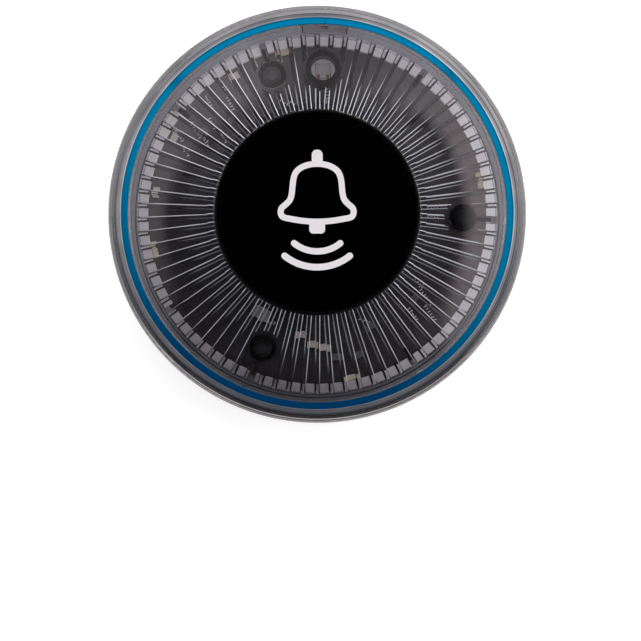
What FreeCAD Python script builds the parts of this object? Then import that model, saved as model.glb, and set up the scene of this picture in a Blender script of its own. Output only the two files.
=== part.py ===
"""Wireless call button for a cafe table: a round puck with a pressing centre disc.

Millimetres, +Z up. The origin is the centre of the plane that the rubber feet stand on.
Clock angles are counted clockwise from +Y, seen from above, as on a dial.
"""
import FreeCAD, Part
import math
import os

from FreeCAD import Vector

# Heights of the housing, stacked from the table up
foot_standoff = 0.9
door_recess_depth = 1.3
bay_ledge_height = 1.4
lug_race_height = 1.2
cell_thickness = 3.2
contact_room = 1.5
board_thickness = 1.6
fin_lift = 2.6
fin_depth = 2.9
plate_thickness = 1.6
dome_rise = 2.5
floor_thickness = 2.0

base_bottom_z = foot_standoff
floor_top_z = base_bottom_z + floor_thickness
door_seat_z = base_bottom_z + door_recess_depth
race_bottom_z = door_seat_z + bay_ledge_height
cell_bottom_z = race_bottom_z + lug_race_height
cell_top_z = cell_bottom_z + cell_thickness
board_bottom_z = cell_top_z + contact_room
board_top_z = board_bottom_z + board_thickness
fin_bottom_z = board_top_z + fin_lift
band_z = fin_bottom_z + fin_depth + plate_thickness

# Widths of the housing, from the rim inwards
housing_radius = 40.0
rim_width = 1.45
parting_gap = 0.2
lip_width = 0.85
ring_fit = 0.05
ring_width = 1.35
cover_wall = 1.9
guide_gap = 0.1
guide_width = 1.7
rim_inner_radius = housing_radius - rim_width
cover_radius = rim_inner_radius - parting_gap
lip_inner_radius = cover_radius - lip_width
ring_outer_radius = lip_inner_radius - ring_fit
ring_inner_radius = ring_outer_radius - ring_width
band_radius = ring_inner_radius - ring_fit
fin_outer_radius = band_radius - cover_wall
guide_outer_radius = fin_outer_radius - guide_gap
guide_inner_radius = guide_outer_radius - guide_width

# Centre button
fin_length = 13.3
button_gap = 0.2
collar_wall = 1.2
ledge_width = 2.65
ledge_thickness = 1.4
button_travel = 0.6
stop_gap = 0.15
button_proud = 0.5
sign_thickness = 0.6
sign_chamfer = 0.1
bezel_width = 0.5
sign_fit = 0.05
cap_plate = 1.1
cap_chamfer = 0.2
collar_radius = fin_outer_radius - fin_length
recess_radius = collar_radius - collar_wall
button_radius = recess_radius - button_gap
hole_radius = recess_radius - ledge_width

# Cover's dome
dome_radius = (band_radius ** 2 + dome_rise ** 2) / (dome_rise * 2)
dome_centre_z = band_z + dome_rise - dome_radius


def dome_z(radius):
    """Height of the cover's outer face at a radius."""
    return dome_centre_z + math.sqrt(dome_radius ** 2 - radius ** 2)


def under_z(radius):
    """Height of the plate's underside, a cone from the collar out to the wall."""
    inner_z = dome_z(collar_radius) - plate_thickness
    outer_z = dome_z(fin_outer_radius) - plate_thickness
    return inner_z + (outer_z - inner_z) * (radius - collar_radius) / (fin_outer_radius - collar_radius)


sign_edge_z = dome_z(button_radius) + button_proud
sign_bottom_z = sign_edge_z - sign_thickness
cap_bottom_z = sign_bottom_z - cap_plate
ledge_top_z = cap_bottom_z - button_travel - stop_gap
ledge_bottom_z = ledge_top_z - ledge_thickness
total_height = sign_edge_z

# Radial fins, bosses and locating ribs of the cover
fin_count = 78
fin_root = 0.85
fin_tip = 0.6
fin_overlap = 0.4
boss_radius = 2.6
boss_relief_radius = 3.3
boss_inset = 4.7
boss_clock_angles = (92.0, 202.0, 342.0)
boss_roof = 1.0
rib_clock_angles = (37.0, 92.0, 147.0, 202.0, 237.0, 307.0, 342.0)
rib_width = 1.1
rib_reach = 2.05
rib_notch = 0.6
rib_gap = 0.1
led_clock_angle = 180.0 / fin_count
led_inset = 4.65
tube_radius = 3.35
tube_bore_radius = 2.35
tube_relief = 0.5
tube_gap = 0.15
boss_place_radius = guide_inner_radius - boss_inset
rib_inner_radius = guide_inner_radius - rib_reach
rib_deep_radius = guide_inner_radius + rib_notch
led_place_radius = guide_inner_radius - led_inset

# Light guide ring at the foot of the fins
guide_fin_gap = 0.3
guide_height = fin_lift - guide_fin_gap
guide_slot_share = 0.35
guide_slope_share = 0.45
guide_slot_z = board_top_z + guide_height * guide_slot_share

# Cover's edge, groove and joint with the base
ledge_seat_drop = 3.3
band_chamfer = 0.3
lip_chamfer = 0.2
recess_chamfer = 0.2
groove_floor = 1.35
ledge_play = 0.05
lip_drop = 0.35
lug_clock_angles = (45.0, 135.0, 225.0, 315.0)
snap_reach = 0.55
snap_width = 2.0
snap_height = 0.8
snap_play = 0.12
peg_radius = 0.6
peg_depth = 0.9
peg_fit = 0.03
ring_split = 0.1
ring_slope = 0.2
ring_sink = 0.2
wall_drop = 0.5
wall_fit = 0.1
key_width = 8.5
key_play = 0.15
key_depth = 1.6
key_drop = 0.4
key_root_drop = 3.5
shoulder_z = band_z - ledge_seat_drop + ledge_play
groove_z = shoulder_z + groove_floor
lip_top_z = band_z - lip_drop
wall_bottom_z = board_bottom_z - wall_drop
key_top_z = fin_bottom_z - key_drop

# Base shell
base_flare = 5.8
bottom_round = 1.9
rim_top_drop = 1.2
rim_round_drop = 3.9
rim_flat = 0.25
inner_floor_inset = 2.85
inner_floor_rise = 0.6
pillar_radius = 4.3
screw_radius = 1.7
screw_fit = 0.05
screw_head_radius = 2.9
screw_head_height = 1.8
screw_head_play = 0.25
screw_seat_depth = 3.7
screw_hole_play = 0.2
screw_tip = 0.8
screw_engage = 4.0
drive_radius = 1.1
drive_width = 0.5
drive_depth = 1.0
seal_height = 0.8
seal_width = 0.8
seal_chamfer = 0.2
seal_place_inset = 1.2
seal_groove_play = 0.1
foot_radius = 3.5
foot_recess = 0.6
foot_fit = 0.1
foot_chamfer = 0.4
foot_inset = 3.7
foot_clock_angles = (47.0, 137.0, 227.0, 317.0)
flat_radius = housing_radius - base_flare
wall_radius = band_radius + wall_fit
inner_floor_radius = wall_radius - inner_floor_inset
foot_place_radius = flat_radius - foot_inset

# Battery bay and door
cell_radius = 10.0
cell_cap_inset = 1.3
cell_step = 0.35
cell_play = 0.25
bay_wall = 1.4
bay_top_gap = 0.4
hub_margin = 0.7
hub_gap = 0.2
hub_wall = 1.5
lug_reach = 1.2
lug_gap = 0.3
lug_height = 0.9
lug_play = 0.1
lug_count = 3
lug_angle = 24.0
notch_margin_angle = 3.0
stop_margin_angle = 1.5
door_turn_angle = 30.0
flange_lip = 2.7
flange_gap = 0.2
flange_sink = 0.05
flange_thickness = 1.15
door_plate = 1.9
coin_slot_inset = 6.4
coin_slot_width = 1.8
coin_slot_depth = 1.0
door_seal_height = 0.75
door_seal_width = 0.75
door_seal_inset = 1.15
collar_width = 2.0
cell_cap_radius = cell_radius - cell_cap_inset
hub_radius = cell_radius + hub_margin
flange_radius = hub_radius + flange_lip
coin_slot_length = (flange_radius - coin_slot_inset) * 2

# Contacts
contact_thickness = 0.25
contact_width = 5.0
contact_foot = 2.6
contact_span = 7.5
contact_arch = 2.4
contact_slot_play = 0.3
contact_touch = 0.04
tab_reach = 2.2

# Circuit board and its parts
board_edge_gap = 0.75
board_hole_play = 0.25
switch_side = 6.2
switch_height = 3.3
switch_bore_play = 0.05
switch_floor = 0.8
frame_thickness = 0.25
frame_flange = 1.4
frame_hole_play = 0.35
leg_width = 0.7
leg_reach = 1.4
leg_thickness = 0.2
leg_spread = 4.5
plunger_radius = 1.7
plunger_height = 3.0
plunger_rise = 1.15
plunger_chamfer = 0.1
stem_radius = 2.4
stem_gap = 0.03
skirt_gap = 0.3
skirt_wall = 1.3
hook_gap = 0.1
hook_height = 1.2
hook_reach = 1.1
hook_angle = 18.0
hook_count = 4
hook_slot = 0.8
cap_rib_count = 8
cap_rib_width = 1.0
cap_rib_height = 1.4
locator_radius = 5.9
locator_wall = 0.7
locator_height = 1.3
spring_radius = 6.4
spring_wire_radius = 0.25
spring_turns = 5
spring_gap = 0.03
coil_samples_per_turn = 24
rim_led_clock_angles = (78.0, 168.0, 258.0, 348.0)
rim_led_size = (3.0, 1.0, 1.1)
rim_led_window_size = (2.1, 0.25, 0.55)
rim_led_gap = 0.12
indicator_size = (2.8, 2.8, 0.9)
indicator_lens_radius = 1.0
indicator_lens_height = 0.25
chip_clock_angle = 250.0
chip_inset = 5.8
chip_size = (8.6, 3.9, 1.4)
chip_lift = 0.15
pin_count = 7
pin_pitch = 1.27
pin_width = 0.4
pin_reach = 1.0
pin_thickness = 0.2
crystal_clock_angle = 209.0
crystal_inset = 10.75
crystal_size = (3.2, 2.5, 0.8)
crystal_round = 0.4
capacitor_size = (2.0, 1.25, 0.9)
capacitor_insets = (1.25, 1.25, 1.45, 9.25, 7.55, 6.95)
capacitor_clock_angles = (278.0, 298.5, 329.0, 187.5, 182.0, 177.0)
resistor_size = (2.0, 1.25, 0.5)
resistor_insets = (4.45, 4.95, 8.75, 7.75, 5.35, 7.75)
resistor_clock_angles = (163.8, 171.8, 155.0, 131.0, 306.0, 318.0)
antenna_clock_angle = 70.0
antenna_inset = 5.8
antenna_radius = 1.9
antenna_wire_radius = 0.35
antenna_turns = 7
antenna_pitch = 1.6
antenna_lift = 0.3
board_radius = fin_outer_radius - board_edge_gap
crystal_place_radius = guide_inner_radius - crystal_inset
chip_place_radius = hole_radius - chip_inset
antenna_place_radius = hole_radius - antenna_inset

# One overrun serves every cut
overrun = 1.0

centre = Vector(0, 0, 0)
up = Vector(0, 0, 1)


def turned(points):
    """Solid of revolution about Z from a closed outline of (radius, height) points."""
    outline = Part.makePolygon([Vector(r, 0, z) for r, z in points + points[:1]])
    return Part.Face(outline).revolve(centre, up, 360)


def disc(radius, low, high):
    """Upright cylinder on the axis."""
    return Part.makeCylinder(radius, high - low, Vector(0, 0, low))


def tube(outer, inner, low, high):
    """Upright tube on the axis."""
    return disc(outer, low, high).cut(disc(inner, low - overrun, high + overrun))


def sector(inner, outer, low, high, clock_from, clock_to):
    """Part of a tube between two clock angles."""
    corners = [(inner, low), (outer, low), (outer, high), (inner, high), (inner, low)]
    face = Part.Face(Part.makePolygon([Vector(0, r, z) for r, z in corners]))
    part = face.revolve(centre, up, clock_to - clock_from)
    return turn_to(part, clock_to)


def block(width, depth, low, high, offset):
    """Box centred on X, centred on Y at an offset, between two heights."""
    return Part.makeBox(width, depth, high - low, Vector(-width / 2, offset - depth / 2, low))


def turn_to(shape, clock):
    """Copy of a shape turned from 12 o'clock to a clock angle."""
    copy = shape.copy()
    copy.rotate(centre, up, -clock)
    return copy


def place(shape, clock, radius):
    """Copy of a shape moved out along +Y and turned to a clock angle."""
    copy = shape.copy()
    copy.translate(Vector(0, radius, 0))
    return turn_to(copy, clock)


def at_clocks(shape, clocks, radius):
    """Copies of a shape at several clock angles on one radius."""
    return [place(shape, clock, radius) for clock in clocks]


def even_clocks(count, first):
    """Clock angles spread evenly round the dial."""
    return [first + 360.0 * index / count for index in range(count)]


def joined(shapes):
    """One solid from touching shapes."""
    return shapes[0].fuse(shapes[1:]).removeSplitter()


def ring_seal(place_radius, width, low, high):
    """Moulded ring seal about Z with chamfered upper edges."""
    inner = place_radius - width / 2
    outer = place_radius + width / 2
    return turned([
        (inner, low),
        (outer, low),
        (outer, high - seal_chamfer),
        (outer - seal_chamfer, high),
        (inner + seal_chamfer, high),
        (inner, high - seal_chamfer),
    ])


def arc(start, middle, end):
    """Arc edge in the XZ plane through three (radius, height) points."""
    points = [Vector(r, 0, z) for r, z in (start, middle, end)]
    return Part.Arc(*points).toShape()


def line(start, end):
    """Straight edge in the XZ plane between two (radius, height) points."""
    return Part.makeLine(Vector(start[0], 0, start[1]), Vector(end[0], 0, end[1]))


def lines(points):
    """Straight edges through (radius, height) points."""
    return [line(points[index], points[index + 1]) for index in range(len(points) - 1)]


def turned_edges(edges):
    """Solid of revolution from a closed run of edges in the XZ plane."""
    return Part.Face(Part.Wire(edges)).revolve(centre, up, 360)


def biarc(start, start_way, end, end_way):
    """Two arcs that meet smoothly and keep the directions at both ends."""
    chord = end - start
    ways = start_way + end_way
    spread = 2 * (1 - start_way.dot(end_way))
    along = chord.dot(ways)
    reach = (math.sqrt(along ** 2 + spread * chord.dot(chord)) - along) / spread
    first_corner = start + start_way * reach
    last_corner = end - end_way * reach
    joint = (first_corner + last_corner) * 0.5
    return [corner_arc(start, first_corner, joint), corner_arc(joint, last_corner, end)]


def corner_arc(start, corner, end):
    """Arc from start to end, tangent to the two sides of their corner."""
    middle = (start + end) * 0.5
    half_chord = (end - start).Length / 2
    side = (corner - start).Length
    height = (corner - middle).Length
    rise = half_chord * (side - half_chord) / height
    crest = middle + (corner - middle).normalize() * rise
    return Part.Arc(start, crest, end).toShape()


def coil(radius, wire_radius, pitch, turns):
    """Round wire wound about Z from height 0, as one tube, and its least gap to itself."""
    def spot(turn):
        angle = 2 * math.pi * turn
        return Vector(radius * math.cos(angle), radius * math.sin(angle), pitch * turn)

    def way(turn):
        angle = 2 * math.pi * turn
        rate = pitch / (2 * math.pi)
        return Vector(-radius * math.sin(angle), radius * math.cos(angle), rate).normalize()

    edges = []
    for half_turn in range(turns * 2):
        first = half_turn / 2
        last = (half_turn + 1) / 2
        edges += biarc(spot(first), way(first), spot(last), way(last))
    path = Part.Wire(edges)
    section = Part.Wire(Part.makeCircle(wire_radius, spot(0), way(0)))
    samples = [spot(index / coil_samples_per_turn) for index in range(coil_samples_per_turn * turns + 1)]
    least = min(
        (samples[first] - samples[last]).Length
        for first in range(len(samples))
        for last in range(first + coil_samples_per_turn // 2, len(samples))
    )
    return path.makePipeShell([section], True, False), least - 2 * wire_radius


def cover_fin():
    """One radial fin at 12 o'clock, thinner at its free edge, rooted in the dome."""
    section = [
        (-fin_tip / 2, fin_bottom_z),
        (fin_tip / 2, fin_bottom_z),
        (fin_root / 2, band_z),
        (fin_root / 2, band_z + dome_rise),
        (-fin_root / 2, band_z + dome_rise),
        (-fin_root / 2, band_z),
    ]
    corners = [Vector(x, 0, z) for x, z in section + section[:1]]
    prism = Part.Face(Part.makePolygon(corners)).extrude(Vector(0, housing_radius, 0))
    inner = collar_radius - fin_overlap
    outer = fin_outer_radius + fin_overlap
    zone = turned([
        (inner, base_bottom_z),
        (outer, base_bottom_z),
        (outer, under_z(outer) + plate_thickness / 2),
        (inner, under_z(inner) + plate_thickness / 2),
    ])
    return prism.common(zone)


def top_cover():
    """Smoked clear cover: dome, ring groove, wall, button recess, fins, bosses and ribs."""
    dome_start = recess_radius + recess_chamfer
    dome_end = band_radius - band_chamfer
    dome_middle = (dome_start + dome_end) / 2
    shell = turned_edges(
        lines([(recess_radius, dome_z(dome_start) - recess_chamfer),
               (dome_start, dome_z(dome_start))])
        + [arc((dome_start, dome_z(dome_start)),
               (dome_middle, dome_z(dome_middle)),
               (dome_end, dome_z(dome_end)))]
        + lines([(dome_end, dome_z(dome_end)),
                 (band_radius, dome_z(dome_end) - band_chamfer),
                 (band_radius, groove_z),
                 (lip_inner_radius, groove_z),
                 (lip_inner_radius, lip_top_z - lip_chamfer),
                 (lip_inner_radius + lip_chamfer, lip_top_z),
                 (cover_radius - lip_chamfer, lip_top_z),
                 (cover_radius, lip_top_z - lip_chamfer),
                 (cover_radius, shoulder_z),
                 (band_radius, shoulder_z),
                 (band_radius, wall_bottom_z),
                 (fin_outer_radius, wall_bottom_z),
                 (fin_outer_radius, under_z(fin_outer_radius)),
                 (collar_radius, under_z(collar_radius)),
                 (collar_radius, fin_bottom_z),
                 (recess_radius, fin_bottom_z),
                 (recess_radius, ledge_bottom_z),
                 (hole_radius, ledge_bottom_z),
                 (hole_radius, ledge_top_z),
                 (recess_radius, ledge_top_z),
                 (recess_radius, dome_z(dome_start) - recess_chamfer)])
    )
    reliefs = at_clocks(disc(boss_relief_radius, base_bottom_z, total_height),
                        boss_clock_angles, boss_place_radius)
    reliefs += at_clocks(disc(tube_radius + tube_relief, base_bottom_z, total_height),
                         (led_clock_angle,), led_place_radius)
    fins = []
    fin = cover_fin()
    for clock in even_clocks(fin_count, 0.0):
        copy = turn_to(fin, clock)
        near = [relief for relief in reliefs if copy.distToShape(relief)[0] <= 0]
        fins += (copy.cut(near) if near else copy).Solids
    roof_z = under_z(boss_place_radius)
    bosses = at_clocks(disc(boss_radius, board_top_z, roof_z + fin_overlap),
                       boss_clock_angles, boss_place_radius)
    deep = block(rib_width, rib_deep_radius - rib_inner_radius, board_top_z + rib_gap,
                 under_z(fin_outer_radius) + fin_overlap,
                 (rib_deep_radius + rib_inner_radius) / 2)
    shallow = block(rib_width, fin_outer_radius + fin_overlap - rib_deep_radius, guide_slot_z + rib_gap,
                    under_z(fin_outer_radius) + fin_overlap,
                    (fin_outer_radius + fin_overlap + rib_deep_radius) / 2)
    ribs = [turn_to(deep.fuse(shallow), clock) for clock in rib_clock_angles]
    snap = block(snap_width, snap_reach + lip_width / 2, shoulder_z, shoulder_z + snap_height,
                 cover_radius + (snap_reach - lip_width / 2) / 2)
    snaps = at_clocks(snap, lug_clock_angles, 0)
    cover = joined([shell] + fins + bosses + ribs + snaps)
    bores = at_clocks(disc(screw_radius + screw_fit, board_top_z - overrun, roof_z - boss_roof),
                      boss_clock_angles, boss_place_radius)
    pegs = at_clocks(disc(peg_radius + peg_fit, groove_z - peg_depth - peg_fit, groove_z + overrun),
                     lug_clock_angles, (ring_inner_radius + ring_outer_radius) / 2)
    key_gap = block(key_width + 2 * key_play, cover_wall + overrun, wall_bottom_z - overrun,
                    key_top_z + key_play, band_radius - cover_wall / 2 + overrun / 2)
    return cover.cut(bores + pegs + [turn_to(key_gap, led_clock_angle)])


def light_guide_ring():
    """Frosted ring on the board's edge, sloped outwards and slotted for the cover's ribs."""
    top_z = board_top_z + guide_height
    ring = turned([
        (guide_inner_radius, board_top_z),
        (guide_outer_radius, board_top_z),
        (guide_outer_radius, top_z - guide_height * guide_slope_share),
        (guide_inner_radius, top_z),
    ])
    slot = rib_width + 2 * rib_gap
    deep = block(slot, rib_deep_radius + rib_gap - guide_inner_radius + overrun, board_top_z - overrun,
                 top_z + overrun,
                 (rib_deep_radius + rib_gap + guide_inner_radius - overrun) / 2)
    shallow = block(slot, guide_outer_radius + overrun - rib_deep_radius, guide_slot_z, top_z + overrun,
                    (guide_outer_radius + overrun + rib_deep_radius) / 2)
    slots = [turn_to(tool, clock) for clock in rib_clock_angles for tool in (deep, shallow)]
    return ring.cut(slots)


def accent_ring():
    """Blue ring laid in the cover's groove, open at one place, with four pegs."""
    top_z = dome_z(band_radius) - ring_sink
    ring = turned([
        (ring_inner_radius, groove_z),
        (ring_outer_radius, groove_z),
        (ring_outer_radius, top_z - ring_slope - ring_fit),
        (ring_outer_radius - ring_fit * 2, top_z - ring_slope),
        (ring_inner_radius + ring_fit * 2, top_z),
        (ring_inner_radius, top_z - ring_fit * 2),
    ])
    pegs = at_clocks(disc(peg_radius, groove_z - peg_depth, groove_z + overrun / 2),
                     lug_clock_angles, (ring_inner_radius + ring_outer_radius) / 2)
    split = place(block(ring_split, ring_width + overrun, groove_z - overrun, top_z + overrun, 0),
                  led_clock_angle, (ring_inner_radius + ring_outer_radius) / 2)
    return joined([ring] + pegs).cut(split)


def base_shell():
    """Lower housing: flared wall, rim, seal groove, screw pillars and battery bay."""
    ledge_z = band_z - ledge_seat_drop
    rim_top_z = band_z - rim_top_drop
    round_z = band_z - rim_round_drop
    bottom_edge = (flat_radius + bottom_round, base_bottom_z + bottom_round)
    flare = housing_radius - bottom_edge[0]
    fall = round_z - bottom_edge[1]
    belly_radius = (flare ** 2 + fall ** 2) / (flare * 2)
    belly_angle = math.asin(fall / belly_radius) / 2
    belly = (
        housing_radius - belly_radius * (1 - math.cos(belly_angle)),
        round_z - belly_radius * math.sin(belly_angle),
    )
    rim_edge_radius = rim_inner_radius + rim_flat
    bulge = math.sqrt(0.5)
    bottom_middle = (
        flat_radius + bottom_round * bulge,
        base_bottom_z + bottom_round * (1 - bulge),
    )
    shell = turned_edges(
        [line((0, base_bottom_z), (flat_radius, base_bottom_z)),
         arc((flat_radius, base_bottom_z), bottom_middle, bottom_edge),
         arc(bottom_edge, belly, (housing_radius, round_z))]
        + biarc(Vector(housing_radius, 0, round_z), up,
                Vector(rim_edge_radius, 0, rim_top_z), Vector(-1, 0, 0))
        + lines([(rim_edge_radius, rim_top_z),
                 (rim_inner_radius, rim_top_z),
                 (rim_inner_radius, ledge_z),
                 (wall_radius, ledge_z),
                 (wall_radius, wall_bottom_z),
                 (inner_floor_radius, floor_top_z + inner_floor_rise),
                 (inner_floor_radius - inner_floor_rise, floor_top_z),
                 (0, floor_top_z),
                 (0, base_bottom_z)])
    )
    pillars = at_clocks(disc(pillar_radius, base_bottom_z + floor_thickness / 2, board_bottom_z),
                        boss_clock_angles, boss_place_radius)
    bay_radius = cell_radius + cell_play
    race_radius = hub_radius + lug_reach + lug_gap
    collar = disc(race_radius + collar_width, base_bottom_z + floor_thickness / 2, cell_bottom_z)
    bay = disc(bay_radius + bay_wall, base_bottom_z + floor_thickness / 2, board_bottom_z - bay_top_gap)
    key = block(key_width, key_depth + overrun, wall_bottom_z - key_root_drop, key_top_z,
                wall_radius - key_depth / 2 + overrun / 2)
    body = joined([shell, collar, bay, turn_to(key, led_clock_angle)] + pillars)

    cuts = [disc(bay_radius, cell_bottom_z, board_bottom_z + overrun)]
    cuts.append(disc(hub_radius + hub_gap, base_bottom_z - overrun, cell_bottom_z + overrun / 2))
    cuts.append(disc(flange_radius + flange_gap, base_bottom_z - overrun, door_seat_z))
    half = lug_angle / 2
    for clock in even_clocks(lug_count, 0.0):
        cuts.append(sector(hub_radius, race_radius, race_bottom_z, cell_bottom_z,
                           clock - half - stop_margin_angle,
                           clock + door_turn_angle + half + stop_margin_angle))
        cuts.append(sector(hub_radius, race_radius, door_seat_z - overrun, race_bottom_z + overrun / 2,
                           clock + door_turn_angle - half - notch_margin_angle / 2,
                           clock + door_turn_angle + half + notch_margin_angle / 2))
    cuts += at_clocks(disc(screw_head_radius + screw_head_play, base_bottom_z - overrun,
                           base_bottom_z + screw_seat_depth), boss_clock_angles, boss_place_radius)
    cuts += at_clocks(disc(screw_radius + screw_hole_play, base_bottom_z, board_bottom_z + overrun),
                      boss_clock_angles, boss_place_radius)
    cuts += at_clocks(disc(foot_radius + foot_fit, base_bottom_z - overrun, base_bottom_z + foot_recess),
                      foot_clock_angles, foot_place_radius)
    seal_place = rim_inner_radius - seal_place_inset
    seal_half = seal_width / 2 + seal_groove_play
    cuts.append(tube(seal_place + seal_half, seal_place - seal_half,
                     ledge_z + ledge_play - seal_height, ledge_z + overrun))
    pocket = block(snap_width + 2 * snap_play, snap_reach + snap_play + overrun,
                   ledge_z - overrun / 2, shoulder_z + snap_height + snap_play,
                   cover_radius + (snap_reach + snap_play - overrun) / 2)
    cuts += at_clocks(pocket, lug_clock_angles, 0)
    cuts.append(block(contact_width + 2 * contact_slot_play, bay_wall + overrun,
                      cell_bottom_z + cell_step, board_bottom_z, bay_radius + bay_wall / 2))
    return body.cut(cuts)


def housing_seal():
    """Soft ring between the base's ledge and the cover's shoulder."""
    return ring_seal(rim_inner_radius - seal_place_inset, seal_width, shoulder_z - seal_height, shoulder_z)


def button_cap():
    """Black cap: plate with a bezel, guide skirt with snap hooks, stem and spring locator."""
    bezel_inner = button_radius - bezel_width
    skirt_radius = hole_radius - skirt_gap
    hook_top_z = ledge_bottom_z - hook_gap
    skirt_bottom_z = hook_top_z - hook_height
    bezel = turned([
        (bezel_inner, cap_bottom_z),
        (button_radius, cap_bottom_z),
        (button_radius, sign_edge_z - cap_chamfer),
        (button_radius - cap_chamfer, sign_edge_z),
        (bezel_inner, sign_edge_z),
    ])
    plate = disc(bezel_inner + bezel_width / 2, cap_bottom_z, sign_bottom_z)
    skirt = tube(skirt_radius, skirt_radius - skirt_wall, skirt_bottom_z, cap_bottom_z + cap_plate / 2)
    stem = disc(stem_radius, board_top_z + switch_height + plunger_rise + stem_gap,
                cap_bottom_z + cap_plate / 2)
    locator = tube(locator_radius, locator_radius - locator_wall, cap_bottom_z - locator_height,
                   cap_bottom_z + cap_plate / 2)
    rib_from = spring_radius + locator_wall
    rib_to = skirt_radius - skirt_wall / 2
    rib = block(cap_rib_width, rib_to - rib_from, cap_bottom_z - cap_rib_height,
                cap_bottom_z + cap_plate / 2, (rib_from + rib_to) / 2)
    ribs = at_clocks(rib, even_clocks(cap_rib_count, 180.0 / cap_rib_count), 0)
    hooks = []
    slots = []
    for clock in even_clocks(hook_count, 0.0):
        hooks.append(sector(skirt_radius - skirt_wall / 2, skirt_radius + hook_reach,
                            skirt_bottom_z, hook_top_z, clock - hook_angle / 2, clock + hook_angle / 2))
        for side in (-1, 1):
            side_clock = clock + side * (hook_angle / 2 + math.degrees(hook_slot / skirt_radius))
            slots.append(place(block(hook_slot, skirt_wall * 2, skirt_bottom_z - overrun,
                                     cap_bottom_z - cap_rib_height, 0),
                               side_clock, skirt_radius - skirt_wall / 2))
    return joined([plate, bezel, skirt, stem, locator] + ribs + hooks).cut(slots)


def sign_disc():
    """Thin black disc bonded in the cap. It carries the bell sign."""
    radius = button_radius - bezel_width - sign_fit
    return turned([
        (0, sign_bottom_z),
        (radius, sign_bottom_z),
        (radius, sign_edge_z - sign_chamfer),
        (radius - sign_chamfer, sign_edge_z),
        (0, sign_edge_z),
    ])


def return_spring():
    """Open-ended coil spring between the board and the cap."""
    height = cap_bottom_z - board_top_z - 2 * spring_gap - 2 * spring_wire_radius
    spring, gap = coil(spring_radius, spring_wire_radius, height / spring_turns, spring_turns)
    spring.translate(Vector(0, 0, board_top_z + spring_gap + spring_wire_radius))
    print("return spring: least gap to itself", round(gap, 3), "mm")
    return spring


def antenna_coil():
    """Wound wire antenna lying along the board."""
    wound, gap = coil(antenna_radius, antenna_wire_radius, antenna_pitch, antenna_turns)
    print("antenna coil: least gap to itself", round(gap, 3), "mm")
    length = antenna_pitch * antenna_turns
    wound.rotate(centre, Vector(0, 1, 0), 90)
    wound.translate(Vector(-length / 2, 0, board_top_z + antenna_lift + antenna_radius + antenna_wire_radius))
    return place(wound, antenna_clock_angle, antenna_place_radius)


def switch_body():
    """Square moulded body of the push switch, bored for its plunger."""
    body = block(switch_side, switch_side, board_top_z, board_top_z + switch_height, 0)
    return body.cut(disc(plunger_radius + switch_bore_play, board_top_z + switch_floor,
                         board_top_z + switch_height + overrun))


def switch_frame():
    """Folded steel frame over the switch body."""
    top_z = board_top_z + switch_height
    plate = block(switch_side, switch_side, top_z, top_z + frame_thickness, 0)
    flanges = [
        block(switch_side, frame_thickness, top_z - frame_flange, top_z + frame_thickness,
              side * (switch_side + frame_thickness) / 2)
        for side in (-1, 1)
    ]
    frame = joined([plate] + flanges)
    return frame.cut(disc(plunger_radius + frame_hole_play, top_z - overrun, top_z + overrun))


def switch_legs():
    """Four bent legs that solder the switch to the board."""
    legs = []
    for side in (-1, 1):
        for row in (-1, 1):
            reach = block(leg_reach, leg_width, board_top_z, board_top_z + leg_thickness,
                          row * leg_spread / 2)
            riser = block(leg_thickness, leg_width, board_top_z, board_top_z + switch_floor,
                          row * leg_spread / 2)
            reach.translate(Vector(side * (switch_side + leg_reach) / 2, 0, 0))
            riser.translate(Vector(side * (switch_side + leg_thickness) / 2, 0, 0))
            legs.append(reach.fuse(riser))
    return Part.makeCompound(legs)


def switch_plunger():
    """Round plunger of the switch, under the cap's stem."""
    top_z = board_top_z + switch_height + plunger_rise
    return turned([
        (0, top_z),
        (0, top_z - plunger_height),
        (plunger_radius, top_z - plunger_height),
        (plunger_radius, top_z - plunger_chamfer),
        (plunger_radius - plunger_chamfer, top_z),
    ])


def circuit_board():
    """Round board with three screw holes."""
    board = disc(board_radius, board_bottom_z, board_top_z)
    holes = at_clocks(disc(screw_radius + board_hole_play, board_bottom_z - overrun, board_top_z + overrun),
                      boss_clock_angles, boss_place_radius)
    return board.cut(holes)


def chip(size):
    """Small box part standing on the board, long side along X."""
    length, width, height = size
    return block(length, width, board_top_z, board_top_z + height, 0)


def rim_leds():
    """Side-view LEDs that shine outwards into the light guide ring."""
    length, depth, height = rim_led_size
    place_radius = guide_inner_radius - rim_led_gap - depth / 2
    body = chip(rim_led_size)
    window_length, window_depth, window_height = rim_led_window_size
    window = block(window_length, window_depth * 2, board_top_z + (height - window_height) / 2,
                   board_top_z + (height + window_height) / 2, depth / 2)
    return Part.makeCompound(at_clocks(body.cut(window), rim_led_clock_angles, place_radius))


def indicator_led():
    """Square LED with a round lens, under the tube."""
    body = chip(indicator_size)
    lens_z = board_top_z + indicator_size[2]
    lens = disc(indicator_lens_radius, lens_z - indicator_lens_height, lens_z + indicator_lens_height)
    return place(joined([body, lens]), led_clock_angle, led_place_radius)


def led_tube():
    """Black tube that keeps the indicator's light out of the cover."""
    top_z = under_z(led_place_radius + tube_radius) - tube_gap
    return place(tube(tube_radius, tube_bore_radius, board_top_z, top_z), led_clock_angle, led_place_radius)


def main_chip():
    """Radio controller in a small-outline package."""
    length, width, height = chip_size
    body = block(length, width, board_top_z + chip_lift, board_top_z + chip_lift + height, 0)
    return place(body, chip_clock_angle, chip_place_radius)


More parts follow.
